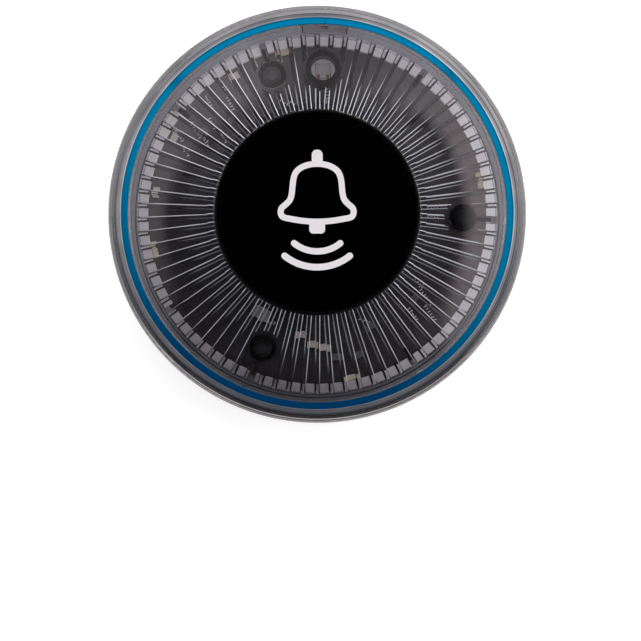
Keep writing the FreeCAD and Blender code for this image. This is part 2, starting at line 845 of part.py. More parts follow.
def chip_pins():
    """Bent pins along both long sides of the controller."""
    length, width, height = chip_size
    pins = []
    for side in (-1, 1):
        for index in range(pin_count):
            offset = (index - (pin_count - 1) / 2) * pin_pitch
            foot = block(pin_width, pin_reach, board_top_z, board_top_z + pin_thickness,
                         side * (width + pin_reach) / 2)
            riser = block(pin_width, pin_thickness, board_top_z, board_top_z + chip_lift + height / 2,
                          side * (width + pin_thickness) / 2)
            pin = foot.fuse(riser)
            pin.translate(Vector(offset, 0, 0))
            pins.append(place(pin, chip_clock_angle, chip_place_radius))
    return Part.makeCompound(pins)


def radio_crystal():
    """Flat metal crystal can with rounded corners."""
    can = chip(crystal_size)
    upright = [edge for edge in can.Edges if edge.BoundBox.ZLength > crystal_size[2] / 2]
    return place(can.makeFillet(crystal_round, upright), crystal_clock_angle, crystal_place_radius)


def capacitors():
    """Ceramic chip capacitors."""
    spots = zip(capacitor_clock_angles, capacitor_insets)
    return Part.makeCompound([
        place(chip(capacitor_size), clock, guide_inner_radius - inset) for clock, inset in spots
    ])


def resistors():
    """Chip resistors."""
    spots = zip(resistor_clock_angles, resistor_insets)
    return Part.makeCompound([
        place(chip(resistor_size), clock, guide_inner_radius - inset) for clock, inset in spots
    ])


def strip(outline):
    """Bent contact strip: a line of (Y, Z) points thickened and made as wide as the contact."""
    spots = [Vector(0, y, z) for y, z in outline]
    ways = [(spots[index + 1] - spots[index]).normalize() for index in range(len(spots) - 1)]
    ways = [ways[0]] + ways + [ways[-1]]
    sides = ([], [])
    for index, spot in enumerate(spots):
        bend = (ways[index] + ways[index + 1]).normalize()
        across = Vector(0, -bend.z, bend.y)
        mitre = contact_thickness / 2 / bend.dot(ways[index])
        sides[0].append(spot + across * mitre)
        sides[1].append(spot - across * mitre)
    corners = sides[0] + sides[1][::-1] + sides[0][:1]
    strip_face = Part.Face(Part.makePolygon(corners))
    strip_face.translate(Vector(-contact_width / 2, 0, 0))
    return strip_face.extrude(Vector(contact_width, 0, 0))


def contact_negative():
    """Arched spring strip from the board down to the cell's cap."""
    half = contact_thickness / 2
    low = cell_top_z + half + contact_touch
    high = board_bottom_z - half - contact_touch
    return strip([
        (-contact_span, high),
        (-contact_span + contact_foot, high),
        (-contact_arch / 2, low),
        (contact_arch / 2, low),
        (contact_span - contact_foot, high),
        (contact_span, high),
    ])


def contact_positive():
    """Angled strip from the board down the side of the cell."""
    half = contact_thickness / 2
    side = cell_radius + half + contact_touch
    high = board_bottom_z - half - contact_touch
    low = cell_bottom_z + cell_step * 2
    return strip([(side, low), (side, high), (side + tab_reach, high)])


def coin_cell():
    """CR2032 coin cell: can with a smaller negative cap on top."""
    return turned([
        (0, cell_bottom_z),
        (cell_radius - cell_step, cell_bottom_z),
        (cell_radius, cell_bottom_z + cell_step),
        (cell_radius, cell_top_z - cell_step),
        (cell_cap_radius + cell_step, cell_top_z - cell_step),
        (cell_cap_radius, cell_top_z),
        (0, cell_top_z),
    ])


def battery_door():
    """Twist door with a coin slot, a seal groove and three bayonet lugs."""
    low = base_bottom_z + flange_sink
    flange_top = low + flange_thickness
    hub_top = cell_bottom_z - lug_play
    groove_in = flange_radius - door_seal_inset - door_seal_width / 2 - seal_groove_play
    groove_out = flange_radius - door_seal_inset + door_seal_width / 2 + seal_groove_play
    groove_bottom = door_seat_z - door_seal_height - ledge_play
    door = turned([
        (0, low),
        (flange_radius, low),
        (flange_radius, flange_top),
        (groove_out, flange_top),
        (groove_out, groove_bottom),
        (groove_in, groove_bottom),
        (groove_in, flange_top),
        (hub_radius, flange_top),
        (hub_radius, hub_top),
        (hub_radius - hub_wall, hub_top),
        (hub_radius - hub_wall, low + door_plate),
        (0, low + door_plate),
    ])
    lugs = [
        sector(hub_radius - hub_wall / 2, hub_radius + lug_reach, race_bottom_z + lug_play,
               race_bottom_z + lug_play + lug_height, clock - lug_angle / 2, clock + lug_angle / 2)
        for clock in even_clocks(lug_count, 0.0)
    ]
    slot_end = coin_slot_width / 2
    slot = block(coin_slot_length - coin_slot_width, coin_slot_width, low - overrun,
                 low + coin_slot_depth, 0)
    ends = []
    for side in (-1, 1):
        end = disc(slot_end, low - overrun, low + coin_slot_depth)
        end.translate(Vector(side * (coin_slot_length - coin_slot_width) / 2, 0, 0))
        ends.append(end)
    return joined([door] + lugs).cut([slot] + ends)


def door_seal():
    """Ring seal in the door's flange."""
    return ring_seal(flange_radius - door_seal_inset, door_seal_width,
                     door_seat_z - door_seal_height - ledge_play, door_seat_z - ledge_play)


def case_screws():
    """Three pan-head screws from below, through the board, into the cover's bosses."""
    seat_z = base_bottom_z + screw_seat_depth
    tip_z = board_top_z + screw_engage
    head_z = seat_z - screw_head_height
    screw = turned([
        (0, head_z),
        (screw_head_radius - screw_head_play, head_z),
        (screw_head_radius, head_z + screw_head_play),
        (screw_head_radius, seat_z),
        (screw_radius, seat_z),
        (screw_radius, tip_z - screw_tip),
        (screw_radius / 2, tip_z),
        (0, tip_z),
    ])
    cross = [
        block(drive_radius * 2, drive_width, head_z - overrun, head_z + drive_depth, 0),
        block(drive_width, drive_radius * 2, head_z - overrun, head_z + drive_depth, 0),
    ]
    return Part.makeCompound(at_clocks(screw.cut(cross), boss_clock_angles, boss_place_radius))


def rubber_feet():
    """Four round feet bonded in the base's recesses."""
    top_z = base_bottom_z + foot_recess
    foot = turned([
        (0, 0),
        (foot_radius - foot_chamfer, 0),
        (foot_radius, foot_chamfer),
        (foot_radius, top_z),
        (0, top_z),
    ])
    return Part.makeCompound(at_clocks(foot, foot_clock_angles, foot_place_radius))


pieces = (
    top_cover, base_shell, accent_ring, light_guide_ring, housing_seal,
    button_cap, sign_disc, return_spring,
    switch_body, switch_frame, switch_legs, switch_plunger,
    circuit_board, rim_leds, indicator_led, led_tube,
    main_chip, chip_pins, radio_crystal, antenna_coil, capacitors, resistors,
    contact_negative, contact_positive, coin_cell,
    battery_door, door_seal, case_screws, rubber_feet,
)

os.makedirs("parts", exist_ok=True)
for piece in pieces:
    shape = piece()
    shape.exportStep(os.path.join("parts", piece.__name__ + ".step"))
    print(piece.__name__, len(shape.Solids), "solids", round(shape.Volume, 1), "mm3", shape.isValid())
print("height", round(total_height, 2), "mm")
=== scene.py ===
# %% [markdown]
# # A smoked call button with a bell sign
# A waiter call button lies on a white table and is seen from straight above. Its cover is smoked clear
# plastic with 78 fins on the inside, and under it sits a black circuit board. The imported CAD model gives
# every rigid piece its true shape, so most of this lesson is about finish: see-through plastic, printed
# ink, satin metal and a studio that the glossy cover can mirror. The pieces too thin for the CAD, such as
# ink, are built here in mesh code, and so are thin pieces of painted light and shade: highlights along the
# fin edges, light in the lip, the gap and the rim, and dark plates at the ribs and the fins' feet. Several
# finishes also paint light and shade into their colour on one side of the dial.

# %% Load the frame
import math

import bpy
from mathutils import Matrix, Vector


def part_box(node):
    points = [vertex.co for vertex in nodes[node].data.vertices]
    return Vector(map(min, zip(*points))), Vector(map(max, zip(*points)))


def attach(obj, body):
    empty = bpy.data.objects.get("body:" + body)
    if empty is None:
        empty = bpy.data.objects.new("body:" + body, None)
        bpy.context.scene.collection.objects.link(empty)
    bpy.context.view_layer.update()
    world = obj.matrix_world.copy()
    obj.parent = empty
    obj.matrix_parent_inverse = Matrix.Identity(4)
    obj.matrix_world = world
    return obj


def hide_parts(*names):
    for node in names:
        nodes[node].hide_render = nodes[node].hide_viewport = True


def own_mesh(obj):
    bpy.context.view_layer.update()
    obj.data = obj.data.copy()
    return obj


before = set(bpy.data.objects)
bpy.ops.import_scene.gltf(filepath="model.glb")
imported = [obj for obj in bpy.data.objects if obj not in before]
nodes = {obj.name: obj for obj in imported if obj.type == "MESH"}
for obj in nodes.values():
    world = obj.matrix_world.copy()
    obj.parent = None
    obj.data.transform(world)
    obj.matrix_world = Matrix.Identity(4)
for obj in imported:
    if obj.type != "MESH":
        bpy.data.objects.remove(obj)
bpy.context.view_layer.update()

scene = bpy.context.scene

# %% [markdown]
# ## Units and places
# Blender works in metres, but the button is easier to think of in millimetres, so one value turns them
# round. Heights are read from the frame, so a finish stays on its piece when the CAD changes. Places round
# the dial are given as on a clock face: a clock angle in degrees from 12 o'clock, and a radius.

# %% Units, heights and clock places
mm = 0.001
board_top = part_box("circuit_board")[1].z
sign_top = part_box("sign_disc")[1].z
fin_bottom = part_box("light_guide_ring")[1].z + 0.3 * mm


def on_dial(clock, radius, height=0.0):
    """Point at a clock angle and a radius, both as on the CAD model's dial."""
    turn = math.radians(clock)
    return Vector((radius * math.sin(turn), radius * math.cos(turn), height))


print("board", round(board_top / mm, 2), "fins", round(fin_bottom / mm, 2), "sign", round(sign_top / mm, 2))

# %% [markdown]
# ## Camera
# The photograph looks almost straight down with a long lens. The disc on top lies a little higher in the
# picture than the rim below it, and that small slide between heights gives the slope of the view: about
# 4 degrees towards the viewer. The button sits above the middle of the frame, so the camera tips a little
# less than its slope. No lens shift is needed, and the lens length follows from the distance and from how
# many millimetres one pixel covers at the rim.

# %% Camera
picture_pixels = 641
pixel_size = 0.1904 * mm
camera_height = 620 * mm
rim_height = 16 * mm
view_slope = 0.070
button_left = 3.3
button_above = 107.0
sensor_width = 36.0

camera_data = bpy.data.cameras.new("camera")
camera = bpy.data.objects.new("camera", camera_data)
scene.collection.objects.link(camera)
camera.location = (button_left * pixel_size, -view_slope * camera_height, rim_height + camera_height)
camera.rotation_euler = (math.atan(view_slope) - math.atan(button_above * pixel_size / camera_height), 0, 0)
camera_data.sensor_width = sensor_width
camera_data.lens = sensor_width * camera_height / (picture_pixels * pixel_size)
camera_data.clip_end = 20.0
scene.camera = camera
print("lens", round(camera_data.lens, 1), "mm")

# %% [markdown]
# ## Helpers for meshes
# Every piece made here is a plain mesh from points and faces. One helper turns them into an object, gives
# it a material and the body it rides on, so no piece can be forgotten.

# %% Mesh helpers
def mesh_object(name, points, faces, smooth=False):
    """New object from points and faces, in metres."""
    mesh = bpy.data.meshes.new(name)
    mesh.from_pydata([tuple(p) for p in points], [], faces)
    mesh.update()
    if smooth:
        mesh.polygons.foreach_set("use_smooth", [True] * len(mesh.polygons))
    obj = bpy.data.objects.new(name, mesh)
    scene.collection.objects.link(obj)
    return obj


def dress(obj, material, body):
    """Gives a new piece its material and its body."""
    obj.data.materials.append(material)
    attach(obj, body)
    print(obj.name, len(obj.data.polygons), "faces on", body)
    return obj


def paint(obj, label, values):
    """Writes one number on each point of a mesh, for its material to read."""
    obj.data.attributes.new(label, "FLOAT", "POINT").data.foreach_set("value", values)


def ring_faces(count, steps, closed=False):
    """Faces of a strip round the dial with count points at each step. A closed one joins its two edges too."""
    faces = []
    for step in range(steps):
        a, b = count * step, count * ((step + 1) % steps)
        faces += [(a + k, a + (k + 1) % count, b + (k + 1) % count, b + k)
                  for k in range(count if closed else count - 1)]
    return faces


def stage_mesh(name, points, faces, material, seen=True):
    """Part of the studio: floor, card or flag, not part of the button."""
    obj = mesh_object(name, points, faces)
    obj.data.materials.append(material)
    obj.visible_camera = seen
    return obj


# %% [markdown]
# ## Shared shader groups
# Three effects are used by more than one finish, so each is a node group. Fine grain is the faint texture
# of moulded plastic. Handling marks are the dust and hairline scratches that show on gloss. A dial mask
# is 1 towards one clock angle and fades to 0 away from it; it places painted light and painted shade on
# one side of the dial. Their places come from object coordinates, so they stay on the piece from every side.

# %% Node helpers
def new_group(name, inputs, outputs):
    """Empty shader node group with named number inputs and outputs."""
    tree = bpy.data.node_groups.new(name, "ShaderNodeTree")
    for label, value in inputs:
        socket = tree.interface.new_socket(label, in_out="INPUT", socket_type="NodeSocketFloat")
        socket.default_value = value
    for label in outputs:
        tree.interface.new_socket(label, in_out="OUTPUT", socket_type="NodeSocketFloat")
    return tree, tree.nodes.new("NodeGroupInput"), tree.nodes.new("NodeGroupOutput")


def math_node(tree, operation, first, second=None, clamp=False):
    """Math node whose inputs are sockets or plain numbers. Gives its output."""
    node = tree.nodes.new("ShaderNodeMath")
    node.operation = operation
    node.use_clamp = clamp
    for index, value in enumerate((first, second)):
        if value is None:
            continue
        if isinstance(value, (int, float)):
            node.inputs[index].default_value = value
        else:
            tree.links.new(value, node.inputs[index])
    return node.outputs[0]


def remap(tree, value, low, high, to_low=0.0, to_high=1.0):
    """Map Range node from one span of numbers to another, clamped and smooth."""
    node = tree.nodes.new("ShaderNodeMapRange")
    node.interpolation_type = "SMOOTHSTEP"
    tree.links.new(value, node.inputs["Value"])
    for label, number in (("From Min", low), ("From Max", high), ("To Min", to_low), ("To Max", to_high)):
        if isinstance(number, (int, float)):
            node.inputs[label].default_value = number
        else:
            tree.links.new(number, node.inputs[label])
    return node.outputs["Result"]


def object_place(tree):
    """Object coordinates: the place on the piece itself, in metres."""
    return tree.nodes.new("ShaderNodeTexCoord").outputs["Object"]


def noise(tree, scale, detail=2.0, place=None):
    """Noise texture on the piece, with scale as patches per metre. Gives its value."""
    node = tree.nodes.new("ShaderNodeTexNoise")
    node.inputs["Detail"].default_value = detail
    tree.links.new(place or object_place(tree), node.inputs["Vector"])
    if isinstance(scale, (int, float)):
        node.inputs["Scale"].default_value = scale
    else:
        tree.links.new(scale, node.inputs["Scale"])
    return node.outputs["Fac"]


# %% Fine grain group
grain_group, grain_in, grain_out = new_group(
    "fine_grain", (("Patches per metre", 4000.0),), ("Grain", "Cloud"))
grain_group.links.new(noise(grain_group, grain_in.outputs[0], 4.0), grain_out.inputs["Grain"])
broad = math_node(grain_group, "MULTIPLY", grain_in.outputs[0], 0.04)
grain_group.links.new(noise(grain_group, broad, 2.0), grain_out.inputs["Cloud"])
print(grain_group.name, "puts out fine and broad noise")

# %% Handling marks group
marks_group, marks_in, marks_out = new_group(
    "handling_marks", (("Specks per metre", 900.0), ("Speck size", 0.1)), ("Dust", "Scratches"))
speck = marks_group.nodes.new("ShaderNodeTexVoronoi")
marks_group.links.new(object_place(marks_group), speck.inputs["Vector"])
marks_group.links.new(marks_in.outputs[0], speck.inputs["Scale"])
dust = remap(marks_group, speck.outputs["Distance"], 0.0, marks_in.outputs[1], 1.0, 0.0)
marks_group.links.new(dust, marks_out.inputs["Dust"])
stretch = marks_group.nodes.new("ShaderNodeMapping")
stretch.inputs["Scale"].default_value = (0.03, 1.0, 1.0)
stretch.inputs["Rotation"].default_value = (0.0, 0.0, math.radians(27))
marks_group.links.new(object_place(marks_group), stretch.inputs["Vector"])
hair = noise(marks_group, 2600.0, 2.0, stretch.outputs["Vector"])
marks_group.links.new(remap(marks_group, hair, 0.66, 0.74), marks_out.inputs["Scratches"])
print(marks_group.name, "puts out dust and hairlines")

# %% Dial mask group
dial_group, dial_in, dial_out = new_group("dial_mask", (("Clock", 0.0), ("Half width", 90.0)), ("Mask", "Radius"))
split = dial_group.nodes.new("ShaderNodeSeparateXYZ")
dial_group.links.new(object_place(dial_group), split.inputs[0])
across, along = split.outputs[0], split.outputs[1]
clock_here = math_node(dial_group, "ARCTAN2", across, along)
aim = math_node(dial_group, "RADIANS", dial_in.outputs["Clock"])
away = math_node(dial_group, "ARCCOSINE", math_node(dial_group, "COSINE",
                 math_node(dial_group, "SUBTRACT", clock_here, aim)))
edge = math_node(dial_group, "RADIANS", dial_in.outputs["Half width"])
dial_group.links.new(remap(dial_group, away, 0.0, edge, 1.0, 0.0), dial_out.inputs["Mask"])
squares = math_node(dial_group, "ADD", math_node(dial_group, "MULTIPLY", across, across),
                    math_node(dial_group, "MULTIPLY", along, along))
radius_mm = math_node(dial_group, "DIVIDE", math_node(dial_group, "SQRT", squares), mm)
dial_group.links.new(radius_mm, dial_out.inputs["Radius"])
print(dial_group.name, "puts out a mask and the radius in millimetres")


# %% Material helpers
def new_material(name, roughness=0.4, **numbers):
    """Material with one Principled BSDF whose plain numbers are set on its own sockets."""
    material = bpy.data.materials.new(name)
    material.use_nodes = True
    shader = material.node_tree.nodes["Principled BSDF"]
    shader.inputs["Roughness"].default_value = roughness
    for label, value in numbers.items():
        shader.inputs[label.replace("_", " ")].default_value = value
    return material, material.node_tree, shader


def use_group(tree, group, **numbers):
    """Puts a shared group into a material with its own numbers."""
    node = tree.nodes.new("ShaderNodeGroup")
    node.node_tree = group
    for label, value in numbers.items():
        node.inputs[label.replace("_", " ")].default_value = value
    return node


def mix_colors(tree, mask, first, second):
    """Mix of two colours or colour sockets by a mask. Gives the mixed colour."""
    node = tree.nodes.new("ShaderNodeMix")
    node.data_type = "RGBA"
    tree.links.new(mask, node.inputs["Factor"])
    for label, value in (("A", first), ("B", second)):
        socket = [s for s in node.inputs if s.name == label and s.type == "RGBA"][0]
        if isinstance(value, tuple):
            socket.default_value = (*value, 1.0)
        else:
            tree.links.new(value, socket)
    return [s for s in node.outputs if s.type == "RGBA"][0]


def bump(tree, shader, height, distance, strength=1.0):
    """Feeds a height in metres to the shader's normal."""
    node = tree.nodes.new("ShaderNodeBump")
    node.inputs["Distance"].default_value = distance
    node.inputs["Strength"].default_value = strength
    tree.links.new(height, node.inputs["Height"])
    tree.links.new(node.outputs["Normal"], shader.inputs["Normal"])


def painted(tree, label):
    """The number painted on a mesh's points under a label."""
    node = tree.nodes.new("ShaderNodeAttribute")
    node.attribute_name = label
    return node.outputs["Fac"]


def eye_rays(tree):
    """1 for what the picture shows straight, through plastic or in a mirror, and 0 for light alone."""
    path = tree.nodes.new("ShaderNodeLightPath")
    seen = math_node(tree, "ADD", path.outputs["Is Camera Ray"], path.outputs["Is Transmission Ray"])
    return math_node(tree, "ADD", seen, path.outputs["Is Glossy Ray"], clamp=True)


def clear_where(tree, mask, shader, tint=(1.0, 1.0, 1.0)):
    """Lets rays through with a tint where the mask is 1."""
    clear = tree.nodes.new("ShaderNodeBsdfTransparent")
    clear.inputs["Color"].default_value = (*tint, 1.0)
    mix = tree.nodes.new("ShaderNodeMixShader")
    tree.links.new(mask, mix.inputs["Fac"])
    tree.links.new(shader.outputs["BSDF"], mix.inputs[1])
    tree.links.new(clear.outputs["BSDF"], mix.inputs[2])
    tree.links.new(mix.outputs["Shader"], tree.nodes["Material Output"].inputs["Surface"])


def moulded_part(name, dark, light, roughness, patches=12000.0, pattern="Grain", bumps=0.4, **numbers):
    """Opaque material with a speckled body, for small parts and ink."""
    material, tree, shader = new_material(name, roughness, **numbers)
    grain = use_group(tree, grain_group, Patches_per_metre=patches)
    tree.links.new(mix_colors(tree, grain.outputs[pattern], dark, light), shader.inputs["Base Color"])
    if bumps:
        bump(tree, shader, grain.outputs["Grain"], 0.008 * mm, bumps)
    return material


# %% [markdown]
# ## Smoked clear plastic
# The cover and the base are polycarbonate with a grey dye. Glass with a tinted colour does this: its
# Transmission Weight stays a plain 1, and the dye is the Base Color. Cycles doesn't send lamp light
# through glass by itself, so shadow rays get a tinted transparent shader instead, and the board under the
# cover is lit without noise. Hairlines and dust only change the roughness, as on real gloss.

# %% Smoked plastic
def smoked_plastic(name, deep, pale, shadow_tint, gloss, clear=1.0, painted_near_shade=None):
    """Tinted clear plastic with clouds in its dye, marks in its gloss and, where given, painted shade on the
    viewer's side.
    """
    material, tree, shader = new_material(name, gloss, Transmission_Weight=clear, IOR=1.5)
    grain = use_group(tree, grain_group, Patches_per_metre=3000.0)
    color = mix_colors(tree, remap(tree, grain.outputs["Cloud"], 0.3, 0.7), deep, pale)
    # Painted shade: the colour is darker towards the viewer's side.
    if painted_near_shade:
        side = use_group(tree, dial_group, Clock=188.0, Half_width=85.0)
        color = mix_colors(tree, side.outputs["Mask"], color, painted_near_shade)
    tree.links.new(color, shader.inputs["Base Color"])
    marks = use_group(tree, marks_group, Specks_per_metre=700.0, Speck_size=0.06)
    worn = math_node(tree, "MAXIMUM", marks.outputs["Dust"], marks.outputs["Scratches"])
    tree.links.new(remap(tree, worn, 0.0, 1.0, gloss, gloss + 0.12), shader.inputs["Roughness"])
    clear_where(tree, tree.nodes.new("ShaderNodeLightPath").outputs["Is Shadow Ray"], shader, shadow_tint)
    return material


cover_plastic = smoked_plastic("cover_plastic", (0.62, 0.61, 0.64), (0.68, 0.67, 0.695), (0.94, 0.94, 0.945),
                               0.02)
base_plastic = smoked_plastic("base_plastic", (0.255, 0.26, 0.285), (0.30, 0.305, 0.335), (0.8, 0.8, 0.81), 0.1,
                              clear=0.8, painted_near_shade=(0.115, 0.115, 0.13))
print(cover_plastic.name, base_plastic.name)

# %% [markdown]
# ## Coloured and black plastics
# The inlaid ring is a satin blue moulding, darker towards the viewer's side by painted shade. The ring at
# the foot of the fins is frosted; its hidden lamps are not lit, so its glow, strongest on the right, is
# painted light, and its side towards the viewer is darker by painted shade. Black parts are never flat black
# on a real object: grain, and a little wear where fingers rub, separate the cap, the rubber feet and the
# board's lacquer.

# %% Blue ring
blue_plastic, tree, shader = new_material("blue_plastic", 0.42, Specular_IOR_Level=0.0)
# Painted shade: the blue is darker towards the viewer's side.
side = use_group(tree, dial_group, Clock=192.0, Half_width=120.0)
grain = use_group(tree, grain_group, Patches_per_metre=2500.0)
fresh = mix_colors(tree, grain.outputs["Cloud"], (0.0, 0.205, 0.405), (0.0, 0.218, 0.425))
outwards = remap(tree, side.outputs["Radius"], 36.1, 37.4, 1.3, 1.2)
painted_shade = math_node(tree, "MULTIPLY", side.outputs["Mask"], outwards, clamp=True)
shaded = mix_colors(tree, painted_shade, fresh, (0.0, 0.047, 0.143))
# Painted shadows of the snap lugs under the ring at 44 and 313 degrees.
for clock in (44.0, 313.0):
    spot = use_group(tree, dial_group, Clock=clock, Half_width=4.5)
    faint = math_node(tree, "MULTIPLY", spot.outputs["Mask"], 0.45)
    shaded = mix_colors(tree, faint, shaded, (0.0, 0.08, 0.20))
tree.links.new(shaded, shader.inputs["Base Color"])
bump(tree, shader, grain.outputs["Grain"], 0.01 * mm, 0.3)
print(blue_plastic.name)

# %% Frosted light guide
# Painted shade: the milk is darker towards the viewer's side.
frosted_plastic, tree, shader = new_material("frosted_plastic", 0.55, Emission_Strength=0.42)
side = use_group(tree, dial_group, Clock=180.0, Half_width=110.0)
grain = use_group(tree, grain_group, Patches_per_metre=3500.0)
milk = mix_colors(tree, grain.outputs["Cloud"], (0.80, 0.785, 0.81), (0.94, 0.925, 0.95))
tree.links.new(mix_colors(tree, side.outputs["Mask"], milk, (0.54, 0.53, 0.555)), shader.inputs["Base Color"])
# Painted light: a glow strongest on the right and half as strong on the left; the ring's lamps are not lit.
right = use_group(tree, dial_group, Clock=90.0, Half_width=108.0)
left = use_group(tree, dial_group, Clock=300.0, Half_width=100.0)
glow = math_node(tree, "ADD", math_node(tree, "MULTIPLY", right.outputs["Mask"], 1.0),
                 math_node(tree, "MULTIPLY", left.outputs["Mask"], 0.5))
tree.links.new(mix_colors(tree, glow, (0.0, 0.0, 0.0), (1.0, 0.965, 0.99)), shader.inputs["Emission Color"])
frosted_plastic.cycles.emission_sampling = "NONE"
bump(tree, shader, grain.outputs["Grain"], 0.02 * mm, 0.6)
print(frosted_plastic.name)


# %% Black finishes
def paint_light_by_side(tree, color, sides):
    """Mixes painted light and painted shade into a colour on some sides: clock, half width, start, end, colour."""
    for clock, half_width, start, end, side_color in sides:
        side = use_group(tree, dial_group, Clock=clock, Half_width=half_width)
        mask = math_node(tree, "MULTIPLY", side.outputs["Mask"], remap(tree, side.outputs["Radius"], start, end))
        color = mix_colors(tree, mask, color, side_color)
    return color


def black_finish(name, dark, light, roughness, spread, patches, height, shine=0.5, sides=()):
    """Black with its own grain, gloss and faint marks, and painted light and shade on the given sides."""
    material, tree, shader = new_material(name, roughness, Specular_IOR_Level=shine)
    grain = use_group(tree, grain_group, Patches_per_metre=patches)
    color = mix_colors(tree, grain.outputs["Cloud"], dark, light)
    tree.links.new(paint_light_by_side(tree, color, sides), shader.inputs["Base Color"])
    marks = use_group(tree, marks_group)
    worn = math_node(tree, "ADD", grain.outputs["Grain"], marks.outputs["Scratches"], clamp=True)
    tree.links.new(remap(tree, worn, 0.2, 1.0, roughness - spread, roughness + spread),
                   shader.inputs["Roughness"])
    bump(tree, shader, grain.outputs["Grain"], height, 0.5)
    return material


cap_black = black_finish("cap_black", (0.001, 0.001, 0.001), (0.002, 0.002, 0.002), 0.38, 0.08, 5000.0,
                         0.01 * mm, shine=0.05)
door_black = black_finish("door_black", (0.012, 0.012, 0.013), (0.020, 0.020, 0.021), 0.45, 0.1, 4000.0,
                          0.015 * mm)
rubber_black = black_finish("rubber_black", (0.012, 0.012, 0.013), (0.022, 0.021, 0.021), 0.75, 0.1, 3500.0,
                            0.03 * mm)
# Painted light and shade: paler at twelve and ten, lit brown near three o'clock, darker towards the viewer.
board_black = black_finish("board_black", (0.032, 0.027, 0.032), (0.044, 0.038, 0.044), 0.6, 0.03, 1800.0,
                           0.0005 * mm, sides=(
                               (0.0, 48.0, 21.0, 24.0, (0.085, 0.078, 0.085)),
                               (85.0, 70.0, 26.8, 29.8, (0.240, 0.190, 0.196)),
                               (288.0, 62.0, 28.0, 30.4, (0.105, 0.090, 0.094)),
                               (205.0, 85.0, 0.0, 1.0, (0.012, 0.010, 0.012))))
chip_black = black_finish("chip_black", (0.016, 0.016, 0.016), (0.028, 0.028, 0.028), 0.55, 0.1, 9000.0, 0.01 * mm)
print(cap_black.name, door_black.name, rubber_black.name, board_black.name, chip_black.name)

# %% [markdown]
# ## Sign disc and ink
# The centre disc is black acrylic. From above it mirrors only the dark camera, which is why it looks
# pure black in the photograph, so its colour is almost nothing and its gloss is high. The bell is screen
# printed: a slightly rough warm white, thinner in places where the mesh of the screen printed less ink.

# %% Sign finishes
sign_black, tree, shader = new_material("sign_black", 0.12, Specular_IOR_Level=0.2)
marks = use_group(tree, marks_group, Specks_per_metre=500.0, Speck_size=0.04)
tree.links.new(mix_colors(tree, marks.outputs["Dust"], (0.0, 0.0, 0.0), (0.0012, 0.0012, 0.0012)),
               shader.inputs["Base Color"])
tree.links.new(remap(tree, marks.outputs["Scratches"], 0.0, 1.0, 0.12, 0.2), shader.inputs["Roughness"])
white_ink = moulded_part("white_ink", (0.80, 0.785, 0.805), (0.88, 0.86, 0.88), 0.5, 9000.0, "Cloud", 0.5)
print(sign_black.name, white_ink.name)


# %% Metals and small parts
def satin_metal(name, dark, light, roughness, sides=()):
    """Metal with fine drawing marks, uneven gloss and painted light on the given sides."""
    material, tree, shader = new_material(name, roughness, Metallic=1.0)
    grain = use_group(tree, grain_group, Patches_per_metre=6000.0)
    color = mix_colors(tree, grain.outputs["Cloud"], dark, light)
    tree.links.new(paint_light_by_side(tree, color, sides), shader.inputs["Base Color"])
    tree.links.new(remap(tree, grain.outputs["Grain"], 0.2, 0.8, roughness - 0.08, roughness + 0.12),
                   shader.inputs["Roughness"])
    bump(tree, shader, grain.outputs["Grain"], 0.006 * mm, 0.4)
    return material


spring_steel = satin_metal("spring_steel", (0.42, 0.41, 0.40), (0.55, 0.54, 0.53), 0.3)
tin_plate = satin_metal("tin_plate", (0.52, 0.52, 0.50), (0.68, 0.67, 0.65), 0.35)
cell_steel = satin_metal("cell_steel", (0.55, 0.54, 0.52), (0.68, 0.67, 0.66), 0.25)
# Painted highlight: the screws at 342 degrees are paler.
screw_black = satin_metal("screw_black", (0.03, 0.03, 0.032), (0.05, 0.05, 0.052), 0.45,
                          sides=((342.0, 70.0, 0.0, 1.0, (0.13, 0.13, 0.135)),))
led_cream = moulded_part("led_cream", (0.74, 0.66, 0.46), (0.86, 0.80, 0.64), 0.45)
# Painted light: the lamp's parts glow a little, though the lamp is not lit.
painted_glow_color = (1.0, 0.98, 1.0, 1.0)
lamp_grey = moulded_part("lamp_grey", (0.60, 0.595, 0.61), (0.74, 0.735, 0.75), 0.3, Emission_Color=painted_glow_color,
                         Emission_Strength=0.13)
ceramic_tan = moulded_part("ceramic_tan", (0.70, 0.62, 0.53), (0.95, 0.90, 0.83), 0.4)
chip_grey = moulded_part("chip_grey", (0.10, 0.10, 0.11), (0.16, 0.16, 0.17), 0.5)
print("metals and small parts ready")

# %% [markdown]
# ## Dressing the CAD nodes
# A CAD node keeps its mesh and only gets a material in its slot. A table from material to nodes makes it
# easy to see that every node has a finish.

# %% Materials on the CAD nodes
finishes = (
    (cover_plastic, ("top_cover",)),
    (base_plastic, ("base_shell",)),
    (blue_plastic, ("accent_ring",)),
    (frosted_plastic, ("light_guide_ring",)),
    (cap_black, ("button_cap", "led_tube")),
    (door_black, ("switch_body", "switch_plunger", "battery_door")),
    (rubber_black, ("housing_seal", "door_seal", "rubber_feet")),
    (sign_black, ("sign_disc",)),
    (board_black, ("circuit_board",)),
    (chip_black, ("main_chip",)),
    (spring_steel, ("return_spring", "antenna_coil")),
    (tin_plate, ("switch_frame", "switch_legs", "chip_pins", "radio_crystal", "contact_negative",
                 "contact_positive")),
    (cell_steel, ("coin_cell",)),
    (screw_black, ("case_screws",)),
    (led_cream, ("rim_leds",)),
    (lamp_grey, ("indicator_led",)),
    (ceramic_tan, ("capacitors",)),
    (chip_grey, ("resistors",)),
)
dressed = set()
for material, names in finishes:
    for name in names:
        for material_slot in nodes[name].material_slots:
            material_slot.material = material
        dressed.add(name)
print("without a finish:", sorted(set(nodes) - dressed))
